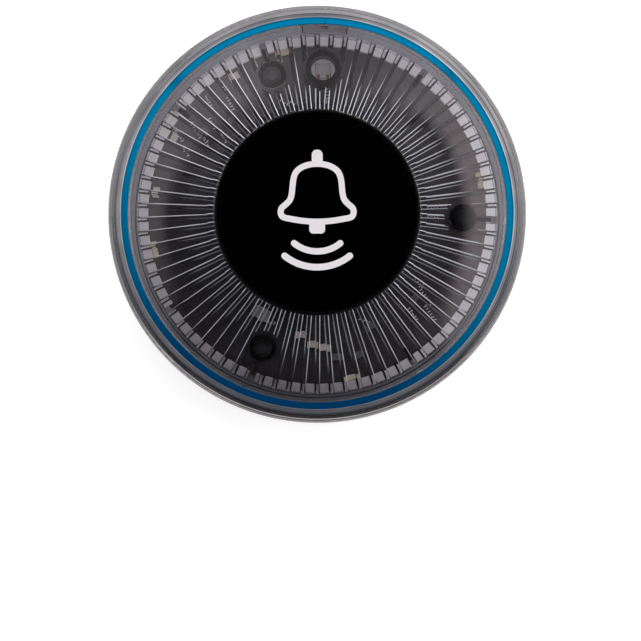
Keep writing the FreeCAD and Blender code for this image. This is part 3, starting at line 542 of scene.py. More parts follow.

# %% [markdown]
# ## Return spring
# An open coil between the board and the cap lifts the button. Its turns close up a little under a press,
# which a rigid piece can't show. Here the coil is wound again as a mesh of its own, inside its own box in
# the frame, in place of the CAD spring.

# %% Coil wound again as a mesh
spring_low, spring_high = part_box("return_spring")
wire_radius = 0.25 * mm
coil_radius = spring_high.y - wire_radius
coil_turns = 5
coil_steps, wire_sides = 32, 12
coil_spots = coil_turns * coil_steps
coil_rise = spring_high.z - spring_low.z - 2 * wire_radius
points, faces = [], []
for step in range(coil_spots + 1):
    turn = 2.0 * math.pi * step / coil_steps
    out = Vector((math.cos(turn), math.sin(turn), 0.0))
    middle = out * coil_radius + Vector((0, 0, spring_low.z + wire_radius + coil_rise * step / coil_spots))
    for side in range(wire_sides):
        around = 2.0 * math.pi * side / wire_sides
        points.append(middle + (out * math.cos(around) + Vector((0, 0, math.sin(around)))) * wire_radius)
for step in range(coil_spots):
    for side in range(wire_sides):
        a, b = step * wire_sides + side, step * wire_sides + (side + 1) % wire_sides
        faces.append([a, a + wire_sides, b + wire_sides, b])
faces.append(list(range(wire_sides)))
faces.append([len(points) - 1 - side for side in range(wire_sides)])
press_coil = dress(mesh_object("press_coil", points, faces, smooth=True), spring_steel, "base")
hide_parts("return_spring")
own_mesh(press_coil)

# %% [markdown]
# ## Bell sign
# A bell with two sound arcs is the usual sign for service. It is drawn as strokes of one width, so each
# stroke is a centre line and a pen width. The bell's outline is half a curve, mirrored, and smoothed with
# a spline through a few given points. Every stroke becomes a very thin solid, as ink is.

# %% Stroke helpers
ink_thickness = 0.03 * mm
stroke_width = 1.14 * mm
curve_steps = 10


def smooth_line(points, closed):
    """Catmull-Rom curve through points, as a denser list of points."""
    count = len(points)
    spans = count if closed else count - 1
    result = []
    for span in range(spans):
        picks = [span - 1, span, span + 1, span + 2]
        if closed:
            a, b, c, d = (points[i % count] for i in picks)
        else:
            a, b, c, d = (points[min(max(i, 0), count - 1)] for i in picks)
        for step in range(curve_steps):
            t = step / curve_steps
            result.append(0.5 * (2 * b + (c - a) * t + (2 * a - 5 * b + 4 * c - d) * t * t
                                 + (3 * b - a - 3 * c + d) * t * t * t))
    if not closed:
        result.append(points[-1])
    return result


def add_prism(points, faces, outline, low, high):
    """Adds an upright solid over a closed outline to a mesh in the making."""
    start, count = len(points), len(outline)
    points += [Vector((p.x, p.y, high)) for p in outline] + [Vector((p.x, p.y, low)) for p in outline]
    faces.append([start + i for i in range(count)])
    faces.append([start + count + i for i in reversed(range(count))])
    for i in range(count):
        j = (i + 1) % count
        faces.append([start + j, start + i, start + count + i, start + count + j])


def add_stroke(points, faces, line, width, closed, low, high):
    """Adds a pen stroke of one width along a centre line, with round ends when it is open."""
    count = len(line)
    lefts, rights = [], []
    for i in range(count):
        before = line[(i - 1) % count] if closed or i else line[i]
        after = line[(i + 1) % count] if closed or i < count - 1 else line[i]
        way = (after - before).normalized()
        side = Vector((-way.y, way.x, 0)) * width / 2
        lefts.append(line[i] + side)
        rights.append(line[i] - side)
    spans = count if closed else count - 1
    start = len(points)
    for left, right in zip(lefts, rights):
        points += [Vector((p.x, p.y, z)) for p in (left, right) for z in (high, low)]
    for i in range(spans):
        a, b = start + 4 * i, start + 4 * ((i + 1) % count)
        faces += [[a, a + 2, b + 2, b], [a + 1, b + 1, b + 3, a + 3],
                  [a, b, b + 1, a + 1], [a + 2, a + 3, b + 3, b + 2]]
    if not closed:
        for end, centre, way in ((0, line[0], line[0] - line[1]), (-1, line[-1], line[-1] - line[-2])):
            turn = math.atan2(way.y, way.x)
            cap = [centre + Vector((math.cos(turn + a), math.sin(turn + a), 0)) * width / 2
                   for a in (math.radians(-90 + 15 * k) for k in range(13))]
            add_prism(points, faces, cap, low, high)


# %% Bell, clapper and sound arcs
half_bell = [(0, 9.12), (1.9, 8.87), (3.3, 8.22), (4.12, 7.35), (4.5, 6.2), (4.68, 4.8), (4.82, 3.45),
             (5.16, 2.3), (5.95, 1.42), (6.72, 0.72), (6.9, -0.2), (6.45, -0.98), (4.9, -1.36), (2.6, -1.72),
             (0, -1.87)]
outline = [Vector((x, y, 0)) * mm for x, y in half_bell]
outline += [Vector((-x, y, 0)) * mm for x, y in half_bell[-2:0:-1]]
ink_low = sign_top
ink_high = sign_top + ink_thickness
points, faces = [], []
add_stroke(points, faces, smooth_line(outline, True), stroke_width, True, ink_low, ink_high)


def rounded_bar(half_width, low_y, high_y, round_low, round_high, steps=8):
    """Outline of an upright bar with its own corner radius at each end."""
    spots = []
    for centre_x, centre_y, radius, first in (
            (half_width - round_high, high_y - round_high, round_high, 0),
            (-half_width + round_high, high_y - round_high, round_high, 90),
            (-half_width + round_low, low_y + round_low, round_low, 180),
            (half_width - round_low, low_y + round_low, round_low, 270)):
        for step in range(steps + 1):
            angle = math.radians(first + 90 * step / steps)
            spots.append(Vector((centre_x + radius * math.cos(angle),
                                 centre_y + radius * math.sin(angle), 0)) * mm)
    return spots


overlap_drop = 0.004 * mm
add_prism(points, faces, rounded_bar(1.04, 9.1, 11.82, 0.05, 0.98), ink_low, ink_high - overlap_drop)
add_prism(points, faces, rounded_bar(1.5, -4.12, -1.8, 0.75, 0.05), ink_low, ink_high - overlap_drop)
for end_x, end_y, low_y, width in ((4.37, -5.95, -7.5, 1.2), (6.17, -8.35, -10.5, 1.25)):
    rise = end_y - low_y
    radius = (end_x ** 2 + rise ** 2) / (2 * rise)
    reach = math.asin(end_x / radius)
    arc_line = [Vector((radius * math.sin(a), low_y + radius * (1 - math.cos(a)), 0)) * mm
                for a in (reach * (k / 20 - 1) for k in range(41))]
    add_stroke(points, faces, arc_line, width * mm, False, ink_low, ink_high)
dress(mesh_object("bell_print", points, faces), white_ink, "button")

# %% [markdown]
# ## Painted highlights on the fin edges
# Where a fin ends, its two lower corners are small polished rounds that catch light from all over the
# studio, so each fin shows as two thin bright lines. Path tracing them through the cover would need very
# many samples, so the lines are painted highlights: a thin bead by each corner glows, and a number painted
# along it, its gleam, makes it bright near the middle of the dial and dark over the light guide, as in the
# photograph. The camera looks along the fins at a small slope: one bead lies just clear of the fin's root,
# the other under its foot.

# %% Fin edge beads, painted highlights
fin_count = 78
fin_inner = 19.65 * mm
fin_outer = 33.7 * mm
bead_width = 0.16 * mm
bead_low = fin_bottom - 0.14 * mm
bead_high = fin_bottom - 0.02 * mm
bead_section = ((-0.5, bead_low), (-0.35, bead_high), (0.35, bead_high), (0.5, bead_low))
bead_steps = 47
main_place = (0.5, 0.05, 0.31)  # mm from the fin's middle, loss towards the rim, slide with the slope of the view
second_place = (0.26, 0.04, 0.28)
turned_from, turned_to = 12, 197  # between these clock angles the anticlockwise edge is the brighter one
boss_places = [on_dial(clock, 27.65 * mm) for clock in (92.0, 202.0, 342.0)]
boss_clear = 3.35 * mm
tube_place = on_dial(180.0 / fin_count, 27.7 * mm)
tube_clear = 3.9 * mm
fin_light = ((0, 0.68), (30, 0.58), (60, 0.43), (90, 0.5), (120, 0.58), (150, 0.47), (180, 0.41), (195, 0.36),
             (210, 0.31), (225, 0.34), (240, 0.4), (270, 0.46), (300, 0.63), (330, 0.77), (360, 0.68))
fin_reach = ((0, 29), (20, 28.5), (60, 28), (75, 29), (90, 31), (105, 34), (165, 34), (185, 32), (200, 28),
             (210, 32.5), (225, 33.5), (300, 34), (330, 33.5), (345, 31), (360, 29))
second_light = ((0, 0.6), (20, 0.9), (45, 0.85), (75, 0.7), (100, 0.4), (120, 0.22), (150, 0.22), (180, 0.36),
                (195, 0.9), (207, 0.45), (250, 0.26), (270, 0.15), (300, 0.12), (335, 0.15), (350, 0.3), (360, 0.6))
second_reach = ((0, 25.6), (45, 25.4), (60, 28), (90, 30), (115, 32), (150, 31), (180, 29), (197, 26), (210, 27),
                (250, 26), (335, 26), (360, 25.6))
rim_loss, loss_from, loss_to = 0.22, 22.0, 30.0


def round_clock(table, clock):
    """Value at a clock angle between the listed values of a table."""
    for (first, start), (last, end) in zip(table, table[1:]):
        if first <= clock <= last:
            return start + (end - start) * (clock - first) / (last - first)


def free_of_parts(spot):
    """True where a fin runs on: clear of the screw bosses and the lamp tube."""
    flat = Vector((spot.x, spot.y, 0))
    return (all((flat - place).length > boss_clear for place in boss_places)
            and (flat - tube_place).length > tube_clear)


def soft_step(value, low, high):
    """0 below low, 1 above high, smooth between."""
    share = min(max((value - low) / (high - low), 0.0), 1.0)
    return share * share * (3 - 2 * share)


def bead_place(clock, side, main, share):
    """Sideways place of a bead from its fin's middle: side is -1 for anticlockwise and 1 for clockwise."""
    offset, loss, slide = main_place if main else second_place
    return (side * (offset - loss * share) - slide * math.sin(math.radians(clock))) * mm


def gleam(clock, radius_mm, main, index):
    """Brightness of a fin's edge at a radius."""
    reach = round_clock(fin_reach if main else second_reach, clock)
    uneven, pace = (0.9, 2.4) if main else (1.1, 1.7)
    reach += uneven * math.sin(index * pace)
    level = round_clock(fin_light, clock) * (1.0 if main else round_clock(second_light, clock))
    fade_from, fade_to = (reach - 4.0, reach + 2.0) if main else (reach - 2.5, reach + 0.5)
    fade = 1.0 - soft_step(radius_mm, fade_from, fade_to)
    return level * fade * (1.0 - rim_loss * soft_step(radius_mm, loss_from, loss_to))


def fin_way(index):
    """Clock angle of a fin, the direction out along it and the one across it."""
    clock = 360.0 * index / fin_count
    out = on_dial(clock, 1.0)
    return clock, out, Vector((out.y, -out.x, 0))


def add_bead(run, across):
    """Adds one bead to the fin edges along a run of places with their gleam."""
    start = len(points)
    for spot, level in run:
        points.extend(spot + across * shift * bead_width + Vector((0, 0, height))
                      for shift, height in bead_section)
        shine.extend([level] * 4)
    for i in range(len(run) - 1):
        a, b = start + 4 * i, start + 4 * (i + 1)
        faces.extend([a + k, b + k, b + (k + 1) % 4, a + (k + 1) % 4] for k in range(4))
    last = start + 4 * (len(run) - 1)
    faces.append([start, start + 1, start + 2, start + 3])
    faces.append([last + 3, last + 2, last + 1, last])


points, faces, shine = [], [], []
for index in range(fin_count):
    clock, out, across = fin_way(index)
    for side in (-1, 1):
        main = side == (-1 if turned_from < clock < turned_to else 1)
        run = []
        for step in range(bead_steps + 1):
            share = step / bead_steps
            radius = fin_inner + (fin_outer - fin_inner) * share
            spot = out * radius + across * bead_place(clock, side, main, share)
            free = free_of_parts(spot)
            if free:
                run.append((spot, gleam(clock, radius / mm, main, index)))
            if not free or step == bead_steps:
                if len(run) > 1:
                    add_bead(run, across)
                run = []
fin_edge_highlights = mesh_object("fin_edge_highlights", points, faces)
paint(fin_edge_highlights, "gleam", shine)

# Painted highlight: the beads' colour and glow follow the painted gleam.
painted_edge_highlight, tree, shader = new_material("painted_edge_highlight", 0.3, Emission_Strength=1.7)
grain = use_group(tree, grain_group, Patches_per_metre=5000.0)
uneven = remap(tree, grain.outputs["Cloud"], 0.25, 0.6, 0.75, 1.0)
broken = math_node(tree, "MULTIPLY", painted(tree, "gleam"), uneven)
tree.links.new(mix_colors(tree, broken, (0.012, 0.011, 0.013), (0.93, 0.95, 0.97)), shader.inputs["Base Color"])
tree.links.new(mix_colors(tree, broken, (0.0, 0.0, 0.0), (0.82, 0.86, 0.90)), shader.inputs["Emission Color"])
painted_edge_highlight.cycles.emission_sampling = "NONE"
dress(fin_edge_highlights, painted_edge_highlight, "base")

# %% Dark fin feet over the light guide, painted shade
# The clear feet of the fins look dark over the light guide; thin black plates under them are painted shade.
foot_width = 0.3 * mm
foot_offset, foot_slide = 0.39, 0.33
foot_start, foot_end = 32.0 * mm, 34.14 * mm
foot_low, foot_high = fin_bottom - 0.24 * mm, fin_bottom - 0.17 * mm
rib_clocks = (37.0, 92.0, 147.0, 202.0, 237.0, 307.0, 342.0)
rib_clear = 1.0
points, faces = [], []
for index in range(fin_count):
    clock, out, across = fin_way(index)
    if min(abs(clock - rib) for rib in rib_clocks) < rib_clear:
        continue
    for side in (-1, 1):
        shift = (side * foot_offset - foot_slide * math.sin(math.radians(clock))) * mm
        inner, outer = (out * radius + across * shift for radius in (foot_start, foot_end))
        half = across * foot_width / 2
        add_prism(points, faces, [outer - half, outer + half, inner + half, inner - half], foot_low, foot_high)
# Black for the painted shade under the fin feet, and for the dark seams of the key.
shade_and_seam_black = moulded_part("shade_and_seam_black", (0.002, 0.002, 0.002), (0.006, 0.005, 0.006), 0.6, 5000.0, "Cloud", 0.0,
                          Specular_IOR_Level=0.1)
dress(mesh_object("fin_foot_shades", points, faces), shade_and_seam_black, "base")

# %% [markdown]
# ## Locating ribs
# Seven ribs of the cover reach through slots in the frosted ring. A rib's clear sides mirror only the dark
# board, so from above it is a dark bar with a round inner end, and the slot beyond it shows as a grey break
# in the ring. Thin plates at the height of the fins' feet paint these looks: painted shade for the bars, and
# a painted grey for the breaks, darker towards the viewer.

# %% Rib bars and breaks in the ring
bar_half, bar_round, bar_end = 0.4, 30.72, 33.0
break_half, break_start, break_end = 0.68, 33.02, 34.12
points, faces = [], []
break_points, break_faces = [], []
for clock in rib_clocks:
    along, aside = on_dial(clock, 1.0), on_dial(clock + 90.0, 1.0)
    shape = [(bar_half * math.sin(math.radians(a)), bar_round - bar_half * math.cos(math.radians(a)))
             for a in range(-90, 91, 15)] + [(bar_half, bar_end), (-bar_half, bar_end)]
    add_prism(points, faces, [(aside * x + along * y) * mm for x, y in shape], bead_low, bead_high)
    shape = ((-break_half, break_start), (break_half, break_start), (break_half, break_end),
             (-break_half, break_end))
    add_prism(break_points, break_faces, [(aside * x + along * y) * mm for x, y in shape], bead_low, bead_high)
# Painted shade for the rib bars, and a painted grey for the breaks, darker towards the viewer.
rib_shade = black_finish("rib_shade", (0.005, 0.004, 0.004), (0.011, 0.009, 0.010), 0.6, 0.05, 5000.0, 0.002 * mm,
                         shine=0.1)
painted_break_grey = black_finish("painted_break_grey", (0.195, 0.19, 0.20), (0.225, 0.22, 0.23), 0.6, 0.05, 5000.0, 0.002 * mm,
                          sides=((190.0, 85.0, 0.0, 1.0, (0.035, 0.035, 0.038)),))
dress(mesh_object("rib_bar_shades", points, faces), rib_shade, "base")
dress(mesh_object("ring_break_tones", break_points, break_faces), painted_break_grey, "base")

# %% [markdown]
# ## Light in the lip
# Outside the blue ring the cover ends in a narrow lip. Light from the studio and from the blue ring runs
# round inside it, so it looks like a pale line beside the ring, then a bluish band, then a second pale line
# at the parting. It is brightest at one and two o'clock and nearly dark at the viewer's side. These lines are
# painted light: a thin strip over the lip with its brightness painted round the dial.

# %% Lip lines
ring_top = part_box("accent_ring")[1].z
lip_top = ring_top - 0.15 * mm
over_ring, over_lip = ring_top + 0.01 * mm, lip_top + 0.02 * mm
lip_glow = ((0, 0.16), (30, 0.41), (60, 0.4), (90, 0.34), (120, 0.24), (150, 0.13), (180, 0.09), (210, 0.08),
            (240, 0.16), (270, 0.33), (300, 0.38), (330, 0.29), (360, 0.15))
dark_glow = ((0, 0.03), (30, 0.11), (60, 0.02), (90, 0.0), (120, 0.01), (150, 0.06), (180, 0.03), (210, 0.04),
             (240, 0.1), (270, 0.28), (300, 0.12), (330, 0.09), (360, 0.07))
gap_glow = ((0, 0.40), (30, 0.42), (60, 0.43), (90, 0.27), (120, 0.085), (150, 0.02), (210, 0.005), (240, 0.05),
            (270, 0.15), (300, 0.25), (330, 0.40), (360, 0.40))
lip_rows = ((37.36, over_ring, lip_glow, 1.9), (37.49, over_ring, lip_glow, 1.9), (37.56, over_lip, lip_glow, 1.2),
            (37.66, over_lip, lip_glow, 0.9), (37.95, over_lip, lip_glow, 0.85), (38.03, over_lip, dark_glow, 1.0),
            (38.13, over_lip, dark_glow, 1.0), (38.21, over_lip, gap_glow, 1.0), (38.34, over_lip, gap_glow, 1.0))
lip_steps = 360


def light_ring(name, rows, closed):
    """Ring-shaped strip with a painted gleam. Each row is a radius in mm, a height, a table and its share."""
    points, shine = [], []
    for step in range(lip_steps):
        clock = 360.0 * step / lip_steps
        for radius, height, table, share in rows:
            points.append(on_dial(clock, radius * mm, height))
            shine.append(min(round_clock(table, clock) * share, 1.0))
    ring = mesh_object(name, points, ring_faces(len(rows), lip_steps, closed))
    paint(ring, "gleam", shine)
    dress(ring, lip_sheen, "base")


# Painted light: the strip's colour follows its painted gleam.
lip_sheen, tree, shader = new_material("lip_sheen", 0.35)
grain = use_group(tree, grain_group, Patches_per_metre=4000.0)
uneven = remap(tree, grain.outputs["Cloud"], 0.3, 0.7, 0.75, 1.1)
uneven = math_node(tree, "MULTIPLY", painted(tree, "gleam"), uneven)
tree.links.new(mix_colors(tree, uneven, (0.034, 0.042, 0.055), (0.88, 0.88, 0.92)), shader.inputs["Base Color"])
light_ring("lip_light", lip_rows, closed=False)

# %% Light in the parting gap
# Painted light and shade: a thin ring in the gap with the lip's painted gleam, dimmer at its foot.
gap_low = lip_top - 0.9 * mm
gap_high = lip_top - 0.25 * mm
gap_inner, gap_outer = 38.37, 38.53
gap_rows = ((gap_inner, gap_high, gap_glow, 1.0), (gap_outer, gap_high, gap_glow, 1.0),
            (gap_outer, gap_low, gap_glow, 0.2), (gap_inner, gap_low, gap_glow, 0.2))
light_ring("gap_shade", gap_rows, closed=True)

# %% [markdown]
# ## Sheen on the rim and the band
# The rounded rim and the flat band beside the ring carry long thin reflections of the studio that change
# round the dial: a warm line inside the rim from eleven to three o'clock, a dark one on the viewer's side,
# and two short streaks on the band. Each is a film a hundredth of a millimetre above the plastic, with a
# brightness and a cover painted on its points, so it fades at its edges instead of ending.

# %% Sheen films
from mathutils.bvhtree import BVHTree

film_gap = 0.012 * mm
probe_clock, probe_height = 17.0, 0.1
# Painted reflections: the film's colour and faint glow follow its painted gleam.
film_sheen, tree, shader = new_material("film_sheen", 0.4, Specular_IOR_Level=0.2, Emission_Strength=0.16)
level = painted(tree, "gleam")
grain = use_group(tree, grain_group, Patches_per_metre=4000.0)
tree.links.new(mix_colors(tree, level, (0.012, 0.016, 0.022), (0.88, 0.84, 0.82)), shader.inputs["Base Color"])
uneven = remap(tree, grain.outputs["Cloud"], 0.3, 0.7, 0.8, 1.0)
tree.links.new(math_node(tree, "MULTIPLY", painted(tree, "cover"), uneven), shader.inputs["Alpha"])
bright = math_node(tree, "POWER", level, 3.0)
tree.links.new(mix_colors(tree, bright, (0.0, 0.0, 0.0), (1.0, 0.99, 0.98)), shader.inputs["Emission Color"])
film_sheen.cycles.emission_sampling = "NONE"


def sheen_film(name, under, rows):
    """Ring-shaped film over a CAD piece. Each row is a radius in mm, a gleam table and a cover table."""
    piece = nodes[under]
    skin = BVHTree.FromObject(piece, bpy.context.evaluated_depsgraph_get())
    to_piece = piece.matrix_world.inverted()
    heights = []
    for radius, light, cover in rows:
        probe = on_dial(probe_clock, radius * mm, probe_height)
        hit = skin.ray_cast(to_piece @ probe, to_piece.to_3x3() @ Vector((0, 0, -1)))[0]
        heights.append((piece.matrix_world @ hit).z + film_gap)
    points, gleams, covers = [], [], []
    for step in range(lip_steps):
        clock = 360.0 * step / lip_steps
        for (radius, light, cover), height in zip(rows, heights):
            points.append(on_dial(clock, radius * mm, height))
            gleams.append(round_clock(light, clock))
            covers.append(round_clock(cover, clock))
    faces = [face for face in ring_faces(len(rows), lip_steps) if max(covers[i] for i in face) > 0]
    film = mesh_object(name, points, faces)
    paint(film, "gleam", gleams)
    paint(film, "cover", covers)
    dress(film, film_sheen, "base")


# Painted reflections on the rim, in rows from the parting outwards.
nothing = ((0, 0.0), (360, 0.0))
warm = ((0, 0.7), (30, 0.8), (60, 0.8), (90, 0.5), (115, 0.15), (245, 0.15), (270, 0.4), (330, 0.7), (360, 0.7))
inner_cover = ((0, 0.45), (25, 0.6), (60, 0.7), (85, 0.45), (110, 0.1), (180, 0.1), (250, 0.15), (270, 0.3),
               (300, 0.4), (330, 0.55), (360, 0.45))
edge_light = ((0, 0.5), (120, 0.52), (150, 0.9), (170, 1.0), (215, 1.0), (240, 0.65), (300, 0.52), (360, 0.5))
edge_cover = ((0, 0.35), (30, 0.35), (60, 0.6), (90, 0.5), (120, 0.5), (150, 0.75), (180, 0.95), (210, 0.9),
              (240, 0.7), (270, 0.6), (300, 0.55), (330, 0.5), (360, 0.35))
half_cover = ((0, 0.15), (60, 0.25), (120, 0.15), (150, 0.12), (210, 0.12), (240, 0.18), (300, 0.25), (360, 0.15))
blue_grey = ((0, 0.33), (360, 0.33))
line_cover = ((0, 0.3), (40, 0.5), (95, 0.4), (125, 0.1), (250, 0.1), (300, 0.4), (360, 0.3))
sheen_film("rim_sheen", "base_shell", (
    (38.57, warm, inner_cover), (38.76, warm, inner_cover), (38.88, blue_grey, line_cover),
    (39.06, blue_grey, line_cover), (39.14, edge_light, half_cover), (39.26, edge_light, edge_cover),
    (39.62, edge_light, edge_cover), (39.8, edge_light, half_cover)))

# Painted reflections on the band: a dark line round it and two short pale streaks.
dark_line = ((0, 0.05), (360, 0.05))
line_round = ((0, 0.0), (12, 0.3), (150, 0.35), (210, 0.35), (350, 0.3), (360, 0.0))
streak_light = ((0, 0.5), (360, 0.5))
streak_cover = ((0, 0.0), (84, 0.0), (90, 0.3), (98, 0.35), (104, 0.0), (256, 0.0), (264, 0.4), (272, 0.4),
                (280, 0.15), (300, 0.0), (360, 0.0))
sheen_film("band_sheen", "top_cover", (
    (35.22, dark_line, nothing), (35.3, dark_line, line_round), (35.38, dark_line, line_round),
    (35.46, streak_light, nothing), (35.6, streak_light, streak_cover), (35.8, streak_light, streak_cover),
    (35.95, streak_light, nothing)))

# %% Key between base and cover
# The base has one wide key that locks the cover's turn. A pale plate on its top is painted light that gives it the
# tone of the band beside it.
key_clock = 180.0 / fin_count
key_top = fin_bottom - 0.4 * mm
key_half, key_inner, key_outer = 4.15, 34.65, 35.95
face_low, face_high = key_top + 0.01 * mm, key_top + 0.04 * mm
line_low, line_high = key_top + 0.05 * mm, key_top + 0.08 * mm
side_line, side_bend, bend_from, bend_to = 4.2, 0.2, 35.0, 35.9
side_width, mark_width, mark_half = 0.2 * mm, 0.12 * mm, 0.28 * mm
along, aside = on_dial(key_clock, 1.0), on_dial(key_clock + 90.0, 1.0)


def by_key(across_mm, radius_mm):
    """Point beside the key's middle line, at a radius."""
    return aside * across_mm * mm + along * radius_mm * mm


points, faces = [], []
add_prism(points, faces, [by_key(-key_half, key_inner), by_key(key_half, key_inner), by_key(key_half, key_outer),
                          by_key(-key_half, key_outer)], face_low, face_high)
painted_key_tone = moulded_part("painted_key_tone", (0.40, 0.40, 0.415), (0.48, 0.48, 0.495), 0.5)
dress(mesh_object("key_face", points, faces), painted_key_tone, "base")

points, faces = [], []
for side in (-1, 1):
    bend = [by_key(side * (side_line + side_bend * soft_step(radius / 10, bend_from, bend_to)), radius / 10)
            for radius in range(345, 361, 2)]
    add_stroke(points, faces, bend, side_width, False, line_low, line_high)
for across_mm, radius_mm, way in ((-0.5, 35.6, along), (0.0, 35.75, aside), (0.05, 35.4, aside),
                                  (0.5, 35.6, along), (0.2, 35.6, along)):
    middle, way = by_key(across_mm, radius_mm), way * mark_half
    add_stroke(points, faces, [middle - way, middle + way], mark_width, False, line_low, line_high)
dress(mesh_object("key_lines", points, faces), shade_and_seam_black, "base")

# %% [markdown]
# ## On the circuit board
# White print and bare pads show dimly through the cover. On the real board they name and frame the small
# parts. Here they are only short strokes in rows, enough to give the board its busy look between the fins.

# %% Board print and pads
import random

dice = random.Random(5)
print_low = board_top + 0.005 * mm
print_high = board_top + 0.03 * mm
print_rows = (
    (300.0, 30.6, 5, 62.0), (305.0, 28.4, 6, 62.0), (311.0, 26.6, 5, 62.0), (316.0, 29.6, 6, 62.0),
    (322.0, 27.2, 5, 62.0), (324.0, 30.4, 4, 62.0), (303.0, 25.2, 4, 62.0), (310.0, 23.6, 5, 62.0),
    (296.0, 28.0, 4, 62.0), (124.0, 23.2, 4, 55.0), (127.0, 26.0, 6, 55.0), (131.0, 28.6, 6, 55.0),
    (136.0, 26.4, 5, 55.0), (137.0, 23.4, 4, 55.0), (4.5, 22.4, 4, 90.0), (4.2, 23.6, 4, 90.0),
    (86.0, 21.9, 4, 0.0), (91.0, 21.9, 4, 0.0), (156.0, 22.2, 4, 20.0), (204.0, 22.4, 4, 20.0),
    (345.0, 22.2, 5, 10.0),
)


def add_bar(points, faces, middle, direction, length, width, low=print_low, high=print_high):
    """Adds a thin bar along a direction given in degrees from +X."""
    turn = math.radians(direction)
    along = Vector((math.cos(turn), math.sin(turn), 0)) * length / 2
    side = Vector((-math.sin(turn), math.cos(turn), 0)) * width / 2
    add_prism(points, faces, [middle - along - side, middle + along - side, middle + along + side,
                              middle - along + side], low, high)


points, faces = [], []
stroke_pitch, long_width, short_width = 0.62 * mm, 0.17 * mm, 0.15 * mm
short_length = 0.35 * mm
short_shift = Vector((0.12, 0.1, 0)) * mm
for clock, radius, count, slant in print_rows:
    middle = on_dial(clock, radius * mm)
    turn = math.radians(-slant)
    row_way = Vector((math.cos(turn), math.sin(turn), 0))
    for k in range(count):
        spot = middle + row_way * stroke_pitch * (k - (count - 1) / 2)
        lean = -slant + dice.choice((0.0, 90.0, 90.0, 65.0))
        add_bar(points, faces, spot, lean, dice.uniform(0.4, 0.7) * mm, long_width)
        if dice.random() < 0.6:
            add_bar(points, faces, spot + short_shift, lean + 90.0, short_length, short_width)
board_ink = moulded_part("board_ink", (0.78, 0.78, 0.80), (0.95, 0.95, 0.96), 0.6, 8000.0, "Grain", 0.0)
dress(mesh_object("board_print", points, faces), board_ink, "base")

# %% Window and pads of the indicator lamp
lamp_low, lamp_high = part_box("indicator_led")
lamp_middle = (lamp_low + lamp_high) / 2
pad_spread = 0.88
window_radius = 2.3 * mm
window_steps = 48
window_play = 0.04 * mm
mark_row = lamp_middle.y + 0.45 * mm
mark_low, mark_high = lamp_high.z - 0.1 * mm, lamp_high.z + 0.02 * mm
pad_row = lamp_low.y + 0.3 * mm
pad_low, pad_high = lamp_high.z - 0.3 * mm, lamp_high.z + 0.03 * mm
mark_length, pad_length, bar_depth = 0.14 * mm, 0.6 * mm, 0.8 * mm
half_x = (lamp_high.x - lamp_low.x) / 2 + window_play
half_y = (lamp_high.y - lamp_low.y) / 2 + window_play
window_points = []
for step in range(window_steps):
    way = on_dial(360.0 * step / window_steps, 1.0)
    shrink = min(half_x / max(abs(way.x), 1e-6), half_y / max(abs(way.y), 1e-6))
    for reach in (min(shrink, window_radius - 0.05 * mm), window_radius):
        window_points.append(Vector((lamp_middle.x, lamp_middle.y, print_high)) + way * reach)
window_faces = ring_faces(2, window_steps)
for shift in (-0.85, -0.5, -0.1, 0.3, 0.75):
    middle = Vector((lamp_middle.x + shift * mm, mark_row, 0))
    add_bar(window_points, window_faces, middle, 0.0, mark_length, bar_depth, mark_low, mark_high)
# Painted light: the lamp's print glows a little, though the lamp is not lit.
lamp_white = moulded_part("lamp_white", (0.82, 0.81, 0.83), (0.94, 0.93, 0.95), 0.4, Emission_Color=painted_glow_color,
                          Emission_Strength=0.15)
dress(mesh_object("lamp_print", window_points, window_faces), lamp_white, "base")
points, faces = [], []
for shift in (-pad_spread, pad_spread):
    middle = Vector((lamp_middle.x + shift * mm, pad_row, 0))
    add_bar(points, faces, middle, 0.0, pad_length, bar_depth, pad_low, pad_high)
copper_pad = satin_metal("copper_pad", (0.60, 0.30, 0.17), (0.80, 0.46, 0.30), 0.4)
dress(mesh_object("lamp_pads", points, faces), copper_pad, "base")

# %% [markdown]
# ## Studio
# A glossy cover shows the studio, so the studio is built with care. A white card hangs over the table with
# a hole for the camera. The slightly domed cover mirrors the hole as the dark middle of the fins and the
# card as the paler zone outside it. The mirror image is about seven times smaller than the card, so the
# hole's edge is laid out from where its image falls on the dial and then spread by that number.
# A big soft card behind the button lights the rim, and the side towards the viewer stays dark.

# %% Studio materials
def card_material(name, strength, color=(1.0, 1.0, 1.0)):
    """Card that glows evenly, as paper does in front of a lamp."""
    material = bpy.data.materials.new(name)
    material.use_nodes = True
    tree = material.node_tree
    tree.nodes.remove(tree.nodes["Principled BSDF"])
    glow = tree.nodes.new("ShaderNodeEmission")
    glow.inputs["Color"].default_value = (*color, 1.0)
    glow.inputs["Strength"].default_value = strength
    tree.links.new(glow.outputs["Emission"], tree.nodes["Material Output"].inputs["Surface"])
    return material


floor_white, tree, shader = new_material("floor_white", 1.0, Base_Color=(0.84, 0.84, 0.84, 1.0),
                                         Emission_Color=(1.0, 1.0, 1.0, 1.0))
tree.links.new(math_node(tree, "MULTIPLY", eye_rays(tree), 0.64), shader.inputs["Emission Strength"])
floor_white.cycles.emission_sampling = "NONE"
clear_where(tree, tree.nodes.new("ShaderNodeNewGeometry").outputs["Backfacing"], shader)
floor_half = 3.0
floor_z = -0.05 * mm
stage_mesh("floor", [(x * floor_half, y * floor_half, floor_z) for x, y in ((-1, -1), (1, -1), (1, 1), (-1, 1))],
           [(0, 1, 2, 3)], floor_white)

